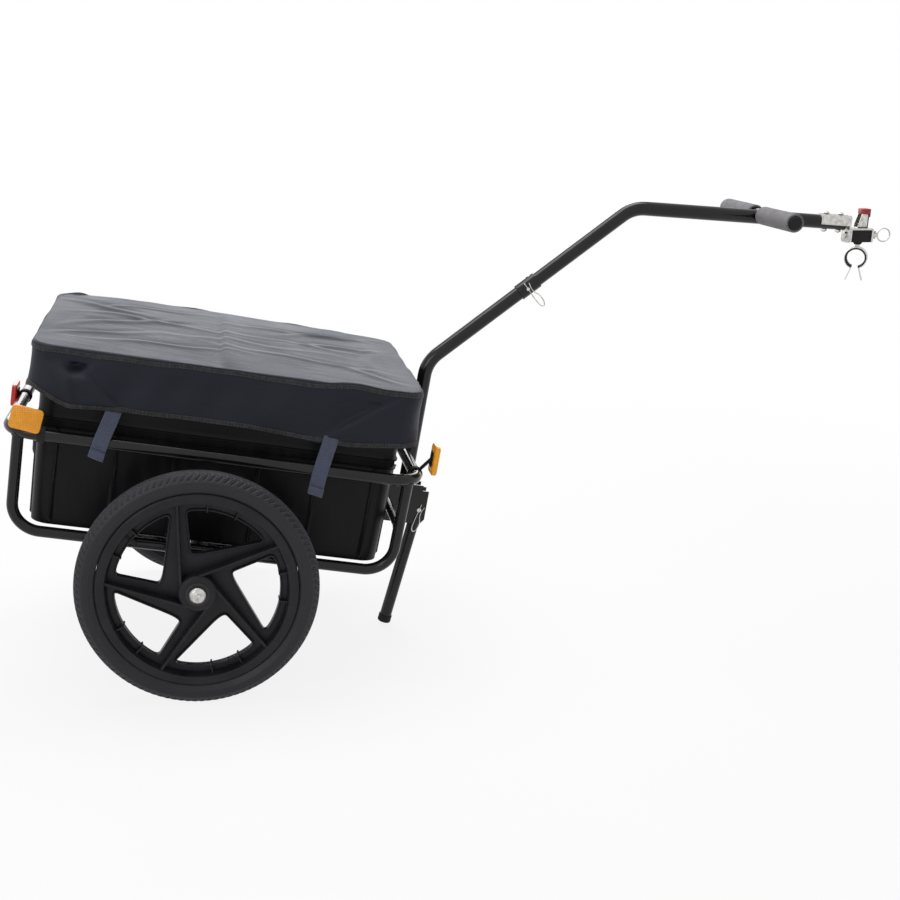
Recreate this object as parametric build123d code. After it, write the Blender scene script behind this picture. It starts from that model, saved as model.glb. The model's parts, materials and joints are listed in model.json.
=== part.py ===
from build123d import *
import os
from math import asin, atan2, cos, degrees, hypot, radians, sin, sqrt, tan

# Bicycle cargo trailer: a steel tube frame that carries a plastic tub with a fabric
# cover, two moulded 16 inch wheels, a cranked drawbar with a seat post coupling and
# a fold-up stand. Millimetres. The trailer is drawn level, with its axle along Y
# through the origin, +X forward and +Y to its left. park() then tips it nose down
# until the foot of the stand reaches the floor, and moves it onto its own origin.

# wheels
wheel_diameter = 400.0
tyre_width = 45.0
wheel_gap = 27.5            # from the ring to the tyre
rim_radius = 166.0          # where the tyre meets the rim flange
rim_width = 38.0
rim_inner_radius = 150.0
spoke_count = 5
hub_radius = 31.0
hub_half_length = 30.0
bearing_radius = 20.0
bearing_length = 9.0
axle_diameter = 12.0

# frame
tube_diameter = 19.0
ring_tube_diameter = 20.0
frame_center_x = 5.5
ring_half_length = 340.0
ring_half_width = 240.0
ring_height = 207.0
ring_corner_radius = 50.0
side_half_length = 321.5
side_bottom_half_width = 212.0
side_bend_radius = 48.0
rail_height = 34.0
floor_bar_spread = 170.0
crossbar_height = 118.0
crossbar_diameter = 16.0
axle_tube_diameter = 26.0
axle_tube_half_length = 250.0
saddle_thickness = 4.0
saddle_length = 60.0

# tub
tub_center_x = 8.0
tub_bottom_half_length = 288.0
tub_bottom_half_width = 196.0
tub_top_half_length = 296.0
tub_top_half_width = 208.0
tub_rim_height = 350.0
tub_rim_overhang = 19.0
tub_rim_thickness = 4.0
tub_corner_radius = 30.0
tub_wall = 3.0

# drawbar and its bracket
drawbar_diameter = 25.0
drawbar_wall = 1.5
drawbar_foot_height = 72.0
drawbar_bend_height = 368.0
drawbar_slope = 45.8        # rise of the long straight, in degrees
drawbar_knee_x = 686.0
drawbar_rise = 4.7          # rise of the upper run, in degrees
drawbar_end_x = 1083.0
drawbar_bend_radius = 60.0
drawbar_joint_x = 539.0
spigot_length = 60.0
bracket_thickness = 3.0
bracket_bottom = 64.0
bracket_top = 139.0
bracket_reach = 32.5        # from the front of the drawbar to the bracket's front edge
bracket_web_gap = 2.1       # from the front of the drawbar to the web
bracket_web_height = 20.0

# handle
handle_x = 921.0
handle_half_width = 150.0
handle_diameter = 22.0
handle_lift = 4.0
grip_diameter = 32.0
grip_length = 132.0

# stand
stand_reach = 19.5          # from the front of the drawbar to the stand's pin
stand_pivot_height = 92.0
stand_foot_back = 25.0
stand_foot_height = -142.0
stand_diameter = 22.0
stand_wall = 1.5
stand_pin_diameter = 8.0
foot_cap_diameter = 25.0
foot_cap_length = 14.0
foot_cap_fillet = 3.0

# coupling
hitch_x = 1116.0
hitch_height = 711.0
hitch_pin_diameter = 8.0
hitch_block_length = 44.0
hitch_block_height = 26.0
hitch_block_width = 30.0
clamp_drop = 41.0
clamp_inner_radius = 15.5
clamp_liner = 3.0
clamp_band = 1.6
clamp_width = 24.0
neck_radius = 4.0
neck_depth = 7.0
hitch_pin_end = 42.0
pull_ring_radius = 11.0
pull_ring_wire = 2.4

# cover
cover_top_height = 358.0
cover_skirt = 108.0
cover_thickness = 2.0
cover_gap = 1.0

clearance = 0.3

axle_height = wheel_diameter / 2
# from the middle of the trailer to the middle plane of a wheel
wheel_spread = ring_half_width + ring_tube_diameter / 2 + wheel_gap + tyre_width / 2

# what the foot of the drawbar, the bracket and the stand share
ring_front_x = frame_center_x + ring_half_length
drawbar_x = ring_front_x + (ring_tube_diameter + drawbar_diameter) / 2
drawbar_front_x = drawbar_x + drawbar_diameter / 2
bracket_front_x = drawbar_front_x + bracket_reach
bracket_web_x = drawbar_front_x + bracket_web_gap + bracket_thickness
stand_pivot_x = drawbar_front_x + stand_reach
stand_foot_x = stand_pivot_x - stand_foot_back

# The trailer pitches about its axle until the round edge of the foot meets the floor.
stand_lean = atan2(stand_pivot_x - stand_foot_x, stand_pivot_height - stand_foot_height)
foot_edge = foot_cap_diameter / 2 - foot_cap_fillet
foot_x = stand_foot_x + foot_edge * cos(stand_lean) + foot_cap_fillet * sin(stand_lean)
foot_z = stand_foot_height - foot_edge * sin(stand_lean) + foot_cap_fillet * cos(stand_lean)
pitch = atan2(foot_z, foot_x) + asin((axle_height - foot_cap_fillet) / hypot(foot_x, foot_z))

parts = {}


def keep(name, *solids):
    parts[name] = list(solids)


def bar(points, diameter, radius=None):
    if radius:
        path = FilletPolyline(*points, radius=radius)
    else:
        path = Polyline(*points)
    start = Plane(origin=path @ 0, z_dir=path % 0)
    return sweep(start * Circle(diameter / 2), path=path)


def rod(start, end, diameter):
    axis = Vector(*end) - Vector(*start)
    plane = Plane(origin=start, z_dir=axis)
    return extrude(plane * Circle(diameter / 2), axis.length)


def cross_rod(x, z, y_low, y_high, diameter):
    return rod((x, y_low, z), (x, y_high, z), diameter)


# frame of tubes
ring_plane = Plane((frame_center_x, 0, ring_height))
ring_path = (ring_plane * RectangleRounded(2 * ring_half_length, 2 * ring_half_width,
                                           ring_corner_radius)).wire()
ring_start = Plane(origin=ring_path @ 0, z_dir=ring_path % 0)
upper_ring = sweep(ring_start * Circle(ring_tube_diameter / 2), path=ring_path)

corner_offset = side_half_length - (ring_half_length - ring_corner_radius)
side_top_half_width = (ring_half_width - ring_corner_radius
                       + sqrt(ring_corner_radius ** 2 - corner_offset ** 2))
rear_upright_x = frame_center_x - side_half_length
front_upright_x = frame_center_x + side_half_length


def main_solid(shape):
    return max(shape.solids(), key=lambda solid: solid.volume)


def side_frame(side):
    top = side * side_top_half_width
    low = side * side_bottom_half_width
    points = [(rear_upright_x, top, ring_height), (rear_upright_x, low, rail_height),
              (front_upright_x, low, rail_height), (front_upright_x, top, ring_height)]
    return main_solid(bar(points, tube_diameter, side_bend_radius) - upper_ring)


side_frames = {"right": side_frame(-1), "left": side_frame(1)}


def crossbar(x, z, half_width):
    tube = cross_rod(x, z, -half_width, half_width, crossbar_diameter)
    return main_solid(main_solid(tube - side_frames["right"]) - side_frames["left"])


lean = (side_top_half_width - side_bottom_half_width) / (ring_height - rail_height)
crossbar_half_width = side_bottom_half_width + lean * (crossbar_height - rail_height)
front_crossbar = crossbar(front_upright_x, crossbar_height, crossbar_half_width)
floor_bars = {name: crossbar(frame_center_x + end * floor_bar_spread, rail_height,
                             side_bottom_half_width)
              for name, end in (("rear", -1), ("front", 1))}

keep("upper_ring", upper_ring)
for side, shape in side_frames.items():
    keep("side_frame_" + side, shape)
keep("front_crossbar", front_crossbar)
for name, shape in floor_bars.items():
    keep(name + "_floor_bar", shape)

# axle tube under the rails, held by a saddle plate under each rail
axle_tube = (cross_rod(0, 0, -axle_tube_half_length, axle_tube_half_length, axle_tube_diameter)
             - cross_rod(0, 0, -axle_tube_half_length - 1, axle_tube_half_length + 1,
                         axle_diameter + 0.1))
keep("axle_tube", axle_tube)


def saddle(side):
    plate = Box(saddle_length, saddle_thickness, rail_height)
    plate = Pos(0, side * side_bottom_half_width, rail_height / 2) * plate
    return plate - side_frames["right"] - side_frames["left"] - cross_rod(
        0, 0, -axle_tube_half_length, axle_tube_half_length, axle_tube_diameter)


keep("axle_saddle_right", saddle(-1))
keep("axle_saddle_left", saddle(1))


# wheels
def ring_solid(inner, outer, y_low, y_high):
    profile = Plane.XY * Pos((inner + outer) / 2, (y_low + y_high) / 2) * Rectangle(
        outer - inner, y_high - y_low)
    return revolve(profile, Axis.Y)


def tyre():
    half = tyre_width / 2
    outline = (Line((rim_radius - 6, -rim_width / 2 + 3), (rim_radius - 6, rim_width / 2 - 3))
               + Line((rim_radius - 6, rim_width / 2 - 3), (rim_radius, rim_width / 2 - 3))
               + Spline((rim_radius, rim_width / 2 - 3), (rim_radius + 16, half),
                        (axle_height, 0), (rim_radius + 16, -half),
                        (rim_radius, -rim_width / 2 + 3))
               + Line((rim_radius, -rim_width / 2 + 3), (rim_radius - 6, -rim_width / 2 + 3)))
    return revolve(make_face(outline), Axis.Y)


def moulded_wheel():
    half = rim_width / 2
    rim = (ring_solid(rim_inner_radius, rim_radius - 6, -half, half)
           + ring_solid(rim_radius - 6, rim_radius, -half, -half + 3)
           + ring_solid(rim_radius - 6, rim_radius, half - 3, half))
    hub = ring_solid(axle_diameter / 2 + 4, hub_radius, -hub_half_length, hub_half_length)
    spoke = Pos((hub_radius + rim_inner_radius) / 2, 0, 0) * Box(
        rim_inner_radius - hub_radius + 8, 12, 42)
    body = rim + hub
    for index in range(spoke_count):
        body += Rot(0, index * 360 / spoke_count, 0) * spoke
    for end in (-1, 1):
        place = hub_half_length - bearing_length if end > 0 else -hub_half_length
        body -= Pos(0, place, 0) * Cylinder(bearing_radius, bearing_length, rotation=(90, 0, 0),
                                            align=(Align.CENTER, Align.CENTER, Align.MAX))
    return body


def bearing(end):
    ring = ring_solid(axle_diameter / 2 + 0.05, bearing_radius, 0, bearing_length)
    place = hub_half_length - bearing_length if end > 0 else -hub_half_length
    return Pos(0, place, 0) * ring


for side, sign in (("right", -1), ("left", 1)):
    hub_place = Pos(0, sign * wheel_spread, 0)
    keep("tyre_" + side, hub_place * tyre())
    keep("moulded_wheel_" + side, hub_place * moulded_wheel())
    keep("hub_bearings_" + side, hub_place * bearing(1), hub_place * bearing(-1))
    inner_end = sign * (axle_tube_half_length - 60)
    outer_end = sign * (wheel_spread + hub_half_length + 14)
    axle = cross_rod(0, 0, min(inner_end, outer_end), max(inner_end, outer_end), axle_diameter)
    keep("stub_axle_" + side, axle)
    nut_start = sign * (wheel_spread + hub_half_length + 1)
    nut = cross_rod(0, 0, min(nut_start, outer_end), max(nut_start, outer_end), 22)
    keep("axle_nut_" + side, nut - cross_rod(0, 0, -400, 400, axle_diameter))

# tub
tub_bottom = rail_height + crossbar_diameter / 2 + clearance


def tub_block(inset, bottom, top):
    def section(height, share):
        half_length = tub_bottom_half_length + share * (tub_top_half_length - tub_bottom_half_length)
        half_width = tub_bottom_half_width + share * (tub_top_half_width - tub_bottom_half_width)
        return Plane((tub_center_x, 0, height)) * RectangleRounded(
            2 * (half_length - inset), 2 * (half_width - inset), tub_corner_radius - inset)
    depth = tub_rim_height - tub_bottom
    return loft([section(bottom, (bottom - tub_bottom) / depth),
                 section(top, (top - tub_bottom) / depth)])


rim_plate = Plane((tub_center_x, 0, tub_rim_height - tub_rim_thickness)) * RectangleRounded(
    2 * (tub_top_half_length + tub_rim_overhang), 2 * (tub_top_half_width + tub_rim_overhang),
    tub_corner_radius + tub_rim_overhang)
tub = tub_block(0, tub_bottom, tub_rim_height) + extrude(rim_plate, tub_rim_thickness)
tub -= tub_block(tub_wall, tub_bottom + tub_wall, tub_rim_height + 1)
keep("tub", tub)

# drawbar
slope = tan(radians(drawbar_slope))
rise = tan(radians(drawbar_rise))
knee_height = drawbar_bend_height + slope * (drawbar_knee_x - drawbar_x)


def drawbar_point(x):
    if x <= drawbar_knee_x:
        return (x, 0, drawbar_bend_height + slope * (x - drawbar_x))
    return (x, 0, knee_height + rise * (x - drawbar_knee_x))


lower_path = [(drawbar_x, 0, drawbar_foot_height), (drawbar_x, 0, drawbar_bend_height),
              drawbar_point(drawbar_joint_x)]
upper_path = [drawbar_point(drawbar_joint_x), drawbar_point(drawbar_knee_x),
              drawbar_point(drawbar_end_x)]
drawbar_bore = drawbar_diameter - 2 * drawbar_wall
drawbar_lower = (bar(lower_path, drawbar_diameter, drawbar_bend_radius)
                 - bar(lower_path, drawbar_bore, drawbar_bend_radius))
spigot_x = drawbar_joint_x - spigot_length * cos(radians(drawbar_slope))
spigot = (rod(drawbar_point(spigot_x), drawbar_point(drawbar_joint_x + 6), drawbar_bore - 0.2)
          + rod(drawbar_point(drawbar_joint_x), drawbar_point(drawbar_joint_x + 6), drawbar_bore + 1)
          - rod(drawbar_point(spigot_x - 1), drawbar_point(drawbar_joint_x + 7), drawbar_bore - 3.2))
drawbar_upper = (bar(upper_path, drawbar_diameter, drawbar_bend_radius)
                 - bar(upper_path, drawbar_bore, drawbar_bend_radius) + spigot)
keep("drawbar_lower", drawbar_lower)

# handle across the upper run
handle_z = drawbar_point(handle_x)[2] + handle_lift
handle = cross_rod(handle_x, handle_z, -handle_half_width, handle_half_width, handle_diameter)
drawbar_upper -= handle
keep("drawbar_upper", drawbar_upper)
keep("handle_bar", handle)
for side, sign in (("right", -1), ("left", 1)):
    inner = sign * (handle_half_width - grip_length)
    outer = sign * (handle_half_width + 4)
    grip = cross_rod(handle_x, handle_z, min(inner, outer), max(inner, outer), grip_diameter)
    keep("grip_" + side, grip - handle)

# bracket that holds the foot of the drawbar and the stand
bracket_inside = drawbar_diameter / 2 + 0.2
cheek_outline = Polyline((front_upright_x, bracket_bottom), (bracket_front_x - 8, bracket_bottom),
                         (bracket_front_x, bracket_bottom + 10), (bracket_front_x, bracket_top - 10),
                         (bracket_front_x - 12, bracket_top - 10), (bracket_front_x - 12, bracket_top),
                         (front_upright_x, bracket_top), close=True)
cheek = extrude(Plane.XZ * make_face(cheek_outline), bracket_thickness)
bracket = (Pos(0, -bracket_inside, 0) * cheek
           + Pos(0, bracket_inside + bracket_thickness, 0) * cheek)
web = Box(bracket_thickness, 2 * bracket_inside, bracket_web_height,
          align=(Align.MAX, Align.CENTER, Align.MIN))
bracket += Pos(bracket_web_x, 0, bracket_bottom) * web
stand_pin = cross_rod(stand_pivot_x, stand_pivot_height, -bracket_inside - bracket_thickness - 3,
                      bracket_inside + bracket_thickness + 3, stand_pin_diameter)
bracket -= front_crossbar
bracket -= stand_pin
keep("drawbar_bracket", bracket)
keep("stand_pin", stand_pin)

# stand
stand_axis = (-sin(stand_lean), 0, -cos(stand_lean))
stand_length = hypot(stand_pivot_x - stand_foot_x, stand_pivot_height - stand_foot_height)


def stand_point(distance):
    return (stand_pivot_x + stand_axis[0] * distance, 0,
            stand_pivot_height + stand_axis[2] * distance)


stand_leg = rod(stand_point(-9), stand_point(stand_length - 3), stand_diameter)
stand_leg -= rod(stand_point(-10), stand_point(stand_length), stand_diameter - 2 * stand_wall)
stand_leg -= cross_rod(stand_pivot_x, stand_pivot_height, -20, 20, stand_pin_diameter + 0.1)
keep("stand_leg", stand_leg)
foot_cap = rod(stand_point(stand_length - foot_cap_length), stand_point(stand_length),
               foot_cap_diameter)
foot_cap = fillet(foot_cap.edges().group_by(Axis.Z)[0], foot_cap_fillet)
foot_cap -= rod(stand_point(0), stand_point(stand_length - 3), stand_diameter)
keep("stand_foot", foot_cap)

# coupling, drawn in its own frame, level when the trailer is parked
hitch = Pos(hitch_x, 0, hitch_height) * Rot(0, -degrees(pitch), 0)
plate_back = -hitch_block_length / 2 - clearance - 3


def hitch_point(along, up):
    turned = (hitch * Pos(along, 0, up)).position
    return (turned.X, turned.Z)


def strap_point(x):
    base = drawbar_point(x)
    lift = drawbar_diameter / 2 + 1.5
    return (base[0] - lift * sin(radians(drawbar_rise)), base[2] + lift * cos(radians(drawbar_rise)))


def bent_sheet(points, thickness, width, bend_radius):
    line = FilletPolyline(*[Plane.XZ.from_local_coords((x, z, 0)) for x, z in points],
                          radius=bend_radius)
    start = Plane(origin=line @ 0, x_dir=(0, 1, 0), z_dir=line % 0)
    return sweep(start * Rectangle(width, thickness), path=line)


strap_start = strap_point(drawbar_end_x - 50)
corner_x, corner_z = hitch_point(plate_back + 1.5, 37)
hitch_bracket = bent_sheet([strap_start, strap_point(corner_x), hitch_point(plate_back + 1.5, -13)],
                           3, 26, 5)
plate_hole = hitch * Rot(0, 90, 0) * Cylinder(hitch_pin_diameter / 2 + 0.05, 80)
hitch_bracket -= plate_hole
keep("hitch_bracket", hitch_bracket)

block = Box(hitch_block_length, hitch_block_width, hitch_block_height)
hitch_pin = Pos(6, 0, 0) * Rot(0, 90, 0) * Cylinder(hitch_pin_diameter / 2, 72)
neck_bore = Pos(0, 0, -hitch_block_height / 2) * Cylinder(
    neck_radius + 0.05, 2 * neck_depth)
hitch_block = hitch * (block - hitch_pin - neck_bore)
keep("hitch_block", hitch_block)
pull_ring = Pos(hitch_pin_end + pull_ring_radius, 0, 0) * Rot(90, 0, 0) * Torus(
    pull_ring_radius, pull_ring_wire / 2)
keep("hitch_pin", hitch * (hitch_pin + pull_ring))
lever = Pos(6, 0, hitch_block_height / 2) * Box(18, 10, 26, align=(Align.CENTER, Align.CENTER, Align.MIN))
keep("latch_lever", hitch * lever)

clamp_center = Pos(0, 0, -clamp_drop)


def clamp_ring(inner, outer):
    ring = Rot(90, 0, 0) * (Cylinder(outer, clamp_width) - Cylinder(inner, clamp_width + 1))
    gap = Pos(0, 0, -outer) * Box(12, clamp_width + 2, outer)
    return clamp_center * (ring - gap)


liner_outer = clamp_inner_radius + clamp_liner
band = clamp_ring(liner_outer, liner_outer + clamp_band)
neck_height = clamp_drop - liner_outer - hitch_block_height / 2
neck = Pos(0, 0, -hitch_block_height / 2 + neck_depth - clearance) * Cylinder(
    neck_radius, neck_height + neck_depth, align=(Align.CENTER, Align.CENTER, Align.MAX))
ears = Pos(0, 0, -clamp_drop - liner_outer) * (
    Pos(-8, 0, 0) * Box(clamp_band, clamp_width, 36, align=(Align.CENTER, Align.CENTER, Align.MAX))
    + Pos(8, 0, 0) * Box(clamp_band, clamp_width, 36, align=(Align.CENTER, Align.CENTER, Align.MAX)))
keep("seat_post_clamp", hitch * (band + neck + ears - clamp_center * Rot(90, 0, 0) * Cylinder(
    liner_outer, clamp_width + 2)))
keep("clamp_liner", hitch * clamp_ring(clamp_inner_radius, liner_outer))

# cover: a shallow fabric lid with a skirt, one closed soft solid
cover_inner_length = tub_top_half_length + tub_rim_overhang + cover_gap
cover_inner_width = tub_top_half_width + tub_rim_overhang + cover_gap
cover_inner_corner = tub_corner_radius + tub_rim_overhang + cover_gap


def cover_block(grow, top):
    base = Plane((tub_center_x, 0, cover_top_height - cover_skirt)) * RectangleRounded(
        2 * (cover_inner_length + grow), 2 * (cover_inner_width + grow), cover_inner_corner + grow)
    return extrude(base, top)


cover = cover_block(cover_thickness, cover_skirt) - cover_block(0, cover_skirt - cover_thickness)
keep("cover", cover)

# The origin is under the middle of the parked trailer, on the floor.
tipped = Pos(0, 0, axle_height) * Rot(0, degrees(pitch), 0)
extent = Compound(children=[solid for solids in parts.values() for shape in solids
                            for solid in (tipped * shape).solids()]).bounding_box()
origin_shift = -(extent.min.X + extent.max.X) / 2
park = Pos(origin_shift, 0, 0) * tipped

os.makedirs("parts", exist_ok=True)
for name, solids in parts.items():
    placed = [park * solid for shape in solids for solid in shape.solids()]
    export_step(placed[0] if len(placed) == 1 else Compound(children=placed), f"parts/{name}.step")
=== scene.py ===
import json
import math

import bmesh
import bpy
import numpy as np
from mathutils import Euler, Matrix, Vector


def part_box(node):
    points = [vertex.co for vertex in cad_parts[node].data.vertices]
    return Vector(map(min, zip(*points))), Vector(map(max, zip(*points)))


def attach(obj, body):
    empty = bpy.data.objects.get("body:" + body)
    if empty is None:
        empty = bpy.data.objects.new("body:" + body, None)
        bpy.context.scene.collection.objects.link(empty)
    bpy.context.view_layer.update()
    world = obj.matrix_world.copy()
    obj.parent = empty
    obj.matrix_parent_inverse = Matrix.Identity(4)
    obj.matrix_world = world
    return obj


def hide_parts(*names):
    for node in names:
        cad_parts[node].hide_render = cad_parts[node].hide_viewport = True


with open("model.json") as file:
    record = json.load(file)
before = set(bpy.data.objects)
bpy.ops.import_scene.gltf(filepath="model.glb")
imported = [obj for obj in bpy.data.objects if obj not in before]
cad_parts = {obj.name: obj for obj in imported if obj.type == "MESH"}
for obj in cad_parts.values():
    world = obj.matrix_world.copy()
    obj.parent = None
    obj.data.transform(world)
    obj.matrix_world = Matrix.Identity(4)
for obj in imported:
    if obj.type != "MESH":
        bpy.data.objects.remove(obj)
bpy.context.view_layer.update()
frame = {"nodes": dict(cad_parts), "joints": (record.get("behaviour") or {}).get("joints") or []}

# Bicycle cargo trailer. Made here: the cover with its straps, tapes and stitches, the tyres,
# wheels and hub nuts, the tub, the reflectors, the grips, the drawbar's joint, the coupling and
# the weld beads. The frame, drawbar, handle bar, axle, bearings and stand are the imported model
# with a new finish.

nodes = frame["nodes"]
tau = 2 * math.pi

lowEnd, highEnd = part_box("axle_tube")
axleCentre = (lowEnd + highEnd) / 2
liftAxis = next(joint["axis"] for joint in frame["joints"] if joint["name"] == "cover_lift")
tiltSine, tiltCosine = liftAxis[0], liftAxis[2]


def onTrailer(points):
    # Level trailer coordinates to the parked ones: turned nose down about the axle, then
    # moved to it. Points are x forward, y left and z up from the middle of the axle.
    x, y, z = np.moveaxis(np.asarray(points, float), -1, 0)
    parked = np.stack([x * tiltCosine + z * tiltSine, y, z * tiltCosine - x * tiltSine], -1)
    return parked + np.array(axleCentre)


def gridFaces(rows, columns, closeRows=False, closeColumns=False):
    # One quad for each cell of a grid of points, joined round where a direction closes
    i = np.arange(rows if closeRows else rows - 1)[:, None]
    j = np.arange(columns if closeColumns else columns - 1)[None, :]
    nextI, nextJ = (i + 1) % rows, (j + 1) % columns
    quads = np.stack([i * columns + j, nextI * columns + j,
                      nextI * columns + nextJ, i * columns + nextJ], -1)
    return quads.reshape(-1, 4)


def makePiece(name, points, faces, material, cornerUv=None, smooth=True):
    # The map holds two numbers for each corner of each face
    mesh = bpy.data.meshes.new(name)
    mesh.from_pydata(np.asarray(points, float).reshape(-1, 3), [], faces.tolist())
    if cornerUv is not None:
        layer = mesh.uv_layers.new(name="cloth")
        layer.data.foreach_set("uv", np.asarray(cornerUv, np.float32).ravel())
    mesh.polygons.foreach_set("use_smooth", np.full(len(mesh.polygons), smooth))
    mesh.materials.append(material)
    mesh.update()
    piece = bpy.data.objects.new(name, mesh)
    bpy.context.scene.collection.objects.link(piece)
    return piece


def joinDoubles(piece, distance=1e-6):
    # Closes seams and poles, and turns every face outwards
    shape = bmesh.new()
    shape.from_mesh(piece.data)
    bmesh.ops.remove_doubles(shape, verts=shape.verts, dist=distance)
    bmesh.ops.recalc_face_normals(shape, faces=shape.faces)
    shape.to_mesh(piece.data)
    shape.free()


def unit(vectors):
    return vectors / np.maximum(np.linalg.norm(vectors, axis=-1, keepdims=True), 1e-12)


def alongLine(line, closed):
    # The direction of a line at each of its points
    if closed:
        return unit(np.roll(line, -1, 0) - np.roll(line, 1, 0))
    return unit(np.gradient(line, axis=0))


def softBar(count, squareness):
    # A section of unit half sizes between an ellipse, at 1, and a rectangle, at 0: a
    # circle's cosine and sine, each raised to the same power
    turn = np.arange(count) * tau / count
    c, s = np.cos(turn), np.sin(turn)
    return np.stack([np.sign(part) * np.abs(part) ** squareness for part in (c, s)], -1)


def carried(line, across, out, section, closed=True):
    # A section carried along a line: its first number goes along across, its second along
    # out. An open one is closed at its ends by a row drawn in to the line.
    points = (line[:, None] + across[:, None] * section[..., :1] + out[:, None] * section[..., 1:])
    if not closed:
        points = np.concatenate([np.repeat(line[:1, None], points.shape[1], 1), points,
                                 np.repeat(line[-1:, None], points.shape[1], 1)])
    return points


class Wire:
    # A socket that can be added, multiplied and compared, which lays the Math nodes
    def __init__(self, tree, socket):
        self.tree = tree
        self.socket = socket

    def node(self, kind, settings=None, values=None, out=0):
        # Settings are set first, then each socket gets its value or its link
        made = self.tree.nodes.new("ShaderNode" + kind)
        for key, value in (settings or {}).items():
            if key == "stops":
                ramp = made.color_ramp
                while len(ramp.elements) < len(value):
                    ramp.elements.new(0.5)
                for stop, (place, colour) in zip(ramp.elements, value):
                    stop.position = place
                    stop.color = (*colour, 1)
            else:
                setattr(made, key, value)
        for key, value in (values or {}).items():
            if isinstance(value, Wire):
                self.tree.links.new(value.socket, made.inputs[key])
            elif value is not None:
                made.inputs[key].default_value = value
        return Wire(self.tree, made.outputs[out])

    def math(self, operation, first, second=None):
        return self.node("Math", {"operation": operation}, {0: first, 1: second})

    def __add__(self, other):
        return self.math("ADD", self, other)

    def __sub__(self, other):
        return self.math("SUBTRACT", self, other)

    def __rsub__(self, other):
        return self.math("SUBTRACT", other, self)

    def __mul__(self, other):
        return self.math("MULTIPLY", self, other)

    def __truediv__(self, other):
        return self.math("DIVIDE", self, other)

    def __gt__(self, other):
        return self.math("GREATER_THAN", self, other)

    __radd__ = __add__
    __rmul__ = __mul__

    def axes(self):
        # The three numbers of a vector
        made = self.node("SeparateXYZ", {}, {0: self})
        return [Wire(self.tree, made.socket.node.outputs[k]) for k in range(3)]

    def sine(self):
        return self.math("SINE", self)

    def fraction(self):
        return self.math("FRACT", self)

    def size(self):
        return self.math("ABSOLUTE", self)

    def mixed(self, low, high):
        # low where this is 0, high where it is 1
        return self.node("Mix", {"data_type": "RGBA"},
                         {0: self, 6: colourOf(low), 7: colourOf(high)}, 2)

    def ranged(self, low, high, newLow, newHigh):
        return self.node("MapRange", {}, {0: self, 1: low, 2: high, 3: newLow, 4: newHigh})


def colourOf(value):
    return value if isinstance(value, Wire) else (*value, 1)


def startMaterial(name):
    material = bpy.data.materials.new(name)
    material.use_nodes = True
    tree = material.node_tree
    tree.nodes.clear()
    return material, Wire(tree, None)


def coordinates(wire, kind="Object", scale=None, turn=None):
    place = wire.node("TexCoord", {}, {}, kind)
    if scale is None and turn is None:
        return place
    return wire.node("Mapping", {}, {0: place, "Scale": scale or (1, 1, 1),
                                     "Rotation": turn or (0, 0, 0)})


def uvMap(wire):
    return wire.node("UVMap", {"uv_map": "cloth"})


def noise(wire, place, scale, detail=3.0, roughness=0.5):
    return wire.node("TexNoise", {}, {"Vector": place, "Scale": scale, "Detail": detail,
                                      "Roughness": roughness})


def bumped(wire, height, distance, strength=1.0, normal=None):
    return wire.node("Bump", {}, {"Height": height, "Distance": distance,
                                  "Strength": strength, "Normal": normal})


def endMaterial(material, wire, values):
    surface = wire.node("BsdfPrincipled", {}, values)
    finished(wire, surface, "ShaderNodeOutputMaterial")
    return material


def finished(wire, surface, kind):
    wire.tree.links.new(surface.socket, wire.tree.nodes.new(kind).inputs["Surface"])


# Pieces built up from turned, carried and cut forms, in level trailer coordinates


def rounded(points, radius, steps=4, closed=True):
    # Each corner of a line becomes a short curve: a quadratic between two places that lie a
    # radius before and after it, or less on a short run
    p = np.asarray(points, float)
    before, after = np.roll(p, 1, 0) - p, np.roll(p, -1, 0) - p
    reach = [np.minimum(radius, 0.48 * np.linalg.norm(way, axis=1))[:, None]
             for way in (before, after)]
    start, end = p + unit(before) * reach[0], p + unit(after) * reach[1]
    t = np.linspace(0, 1, steps)[None, :, None]
    curve = (1 - t) ** 2 * start[:, None] + 2 * t * (1 - t) * p[:, None] + t ** 2 * end[:, None]
    if closed:
        return curve.reshape(-1, p.shape[1])
    return np.concatenate([p[:1], curve[1:-1].reshape(-1, p.shape[1]), p[-1:]])


def turnedGrid(profile, centre, axis=(0, 1, 0), start=(1, 0, 0), count=64):
    # A profile of radius and place along an axis, turned round that axis
    axis, start = unit(np.array(axis, float)), np.array(start, float)
    start = unit(start - axis * np.dot(start, axis))
    side = np.cross(axis, start)
    turn = np.arange(count)[:, None, None] * tau / count
    radius, along = profile[None, :, :1], profile[None, :, 1:]
    outward = np.cos(turn) * start + np.sin(turn) * side
    return np.array(centre, float) + radius * outward + along * axis


def tubeGrid(line, radius, closed=False, sides=20):
    # A round section carried along a line, its across direction kept by turning one fixed
    # direction out of the line's own
    line = np.asarray(line, float)
    flow = alongLine(line, closed)
    sideways = np.abs(flow[:, 1]).max() >= 0.9
    fixed = np.array([0.0, 0.0, 1.0] if sideways else [0.0, 1.0, 0.0])
    across = unit(np.cross(flow, fixed))
    out = unit(np.cross(flow, across))
    return carried(line, across, out, softBar(sides, 1.0) * radius, closed)


def blockGrid(outline, low, high, axis, edge=0.0006):
    # A flat outline raised along an axis, drawn in at both ends by the width of its edge,
    # with each end closed to the outline's middle
    outline = np.asarray(outline, float)
    axis = np.array(axis, float)
    middle = outline.mean(0)
    widest = np.linalg.norm(outline - middle, axis=1).max()
    inner = middle + (outline - middle) * (1 - edge / widest * 1.4)
    rows = [(middle + 0 * outline, low), (inner, low), (outline, low + edge),
            (outline, high - edge),
            (inner, high), (middle + 0 * outline, high)]
    return np.stack([line + axis * place for line, place in rows])


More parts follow.
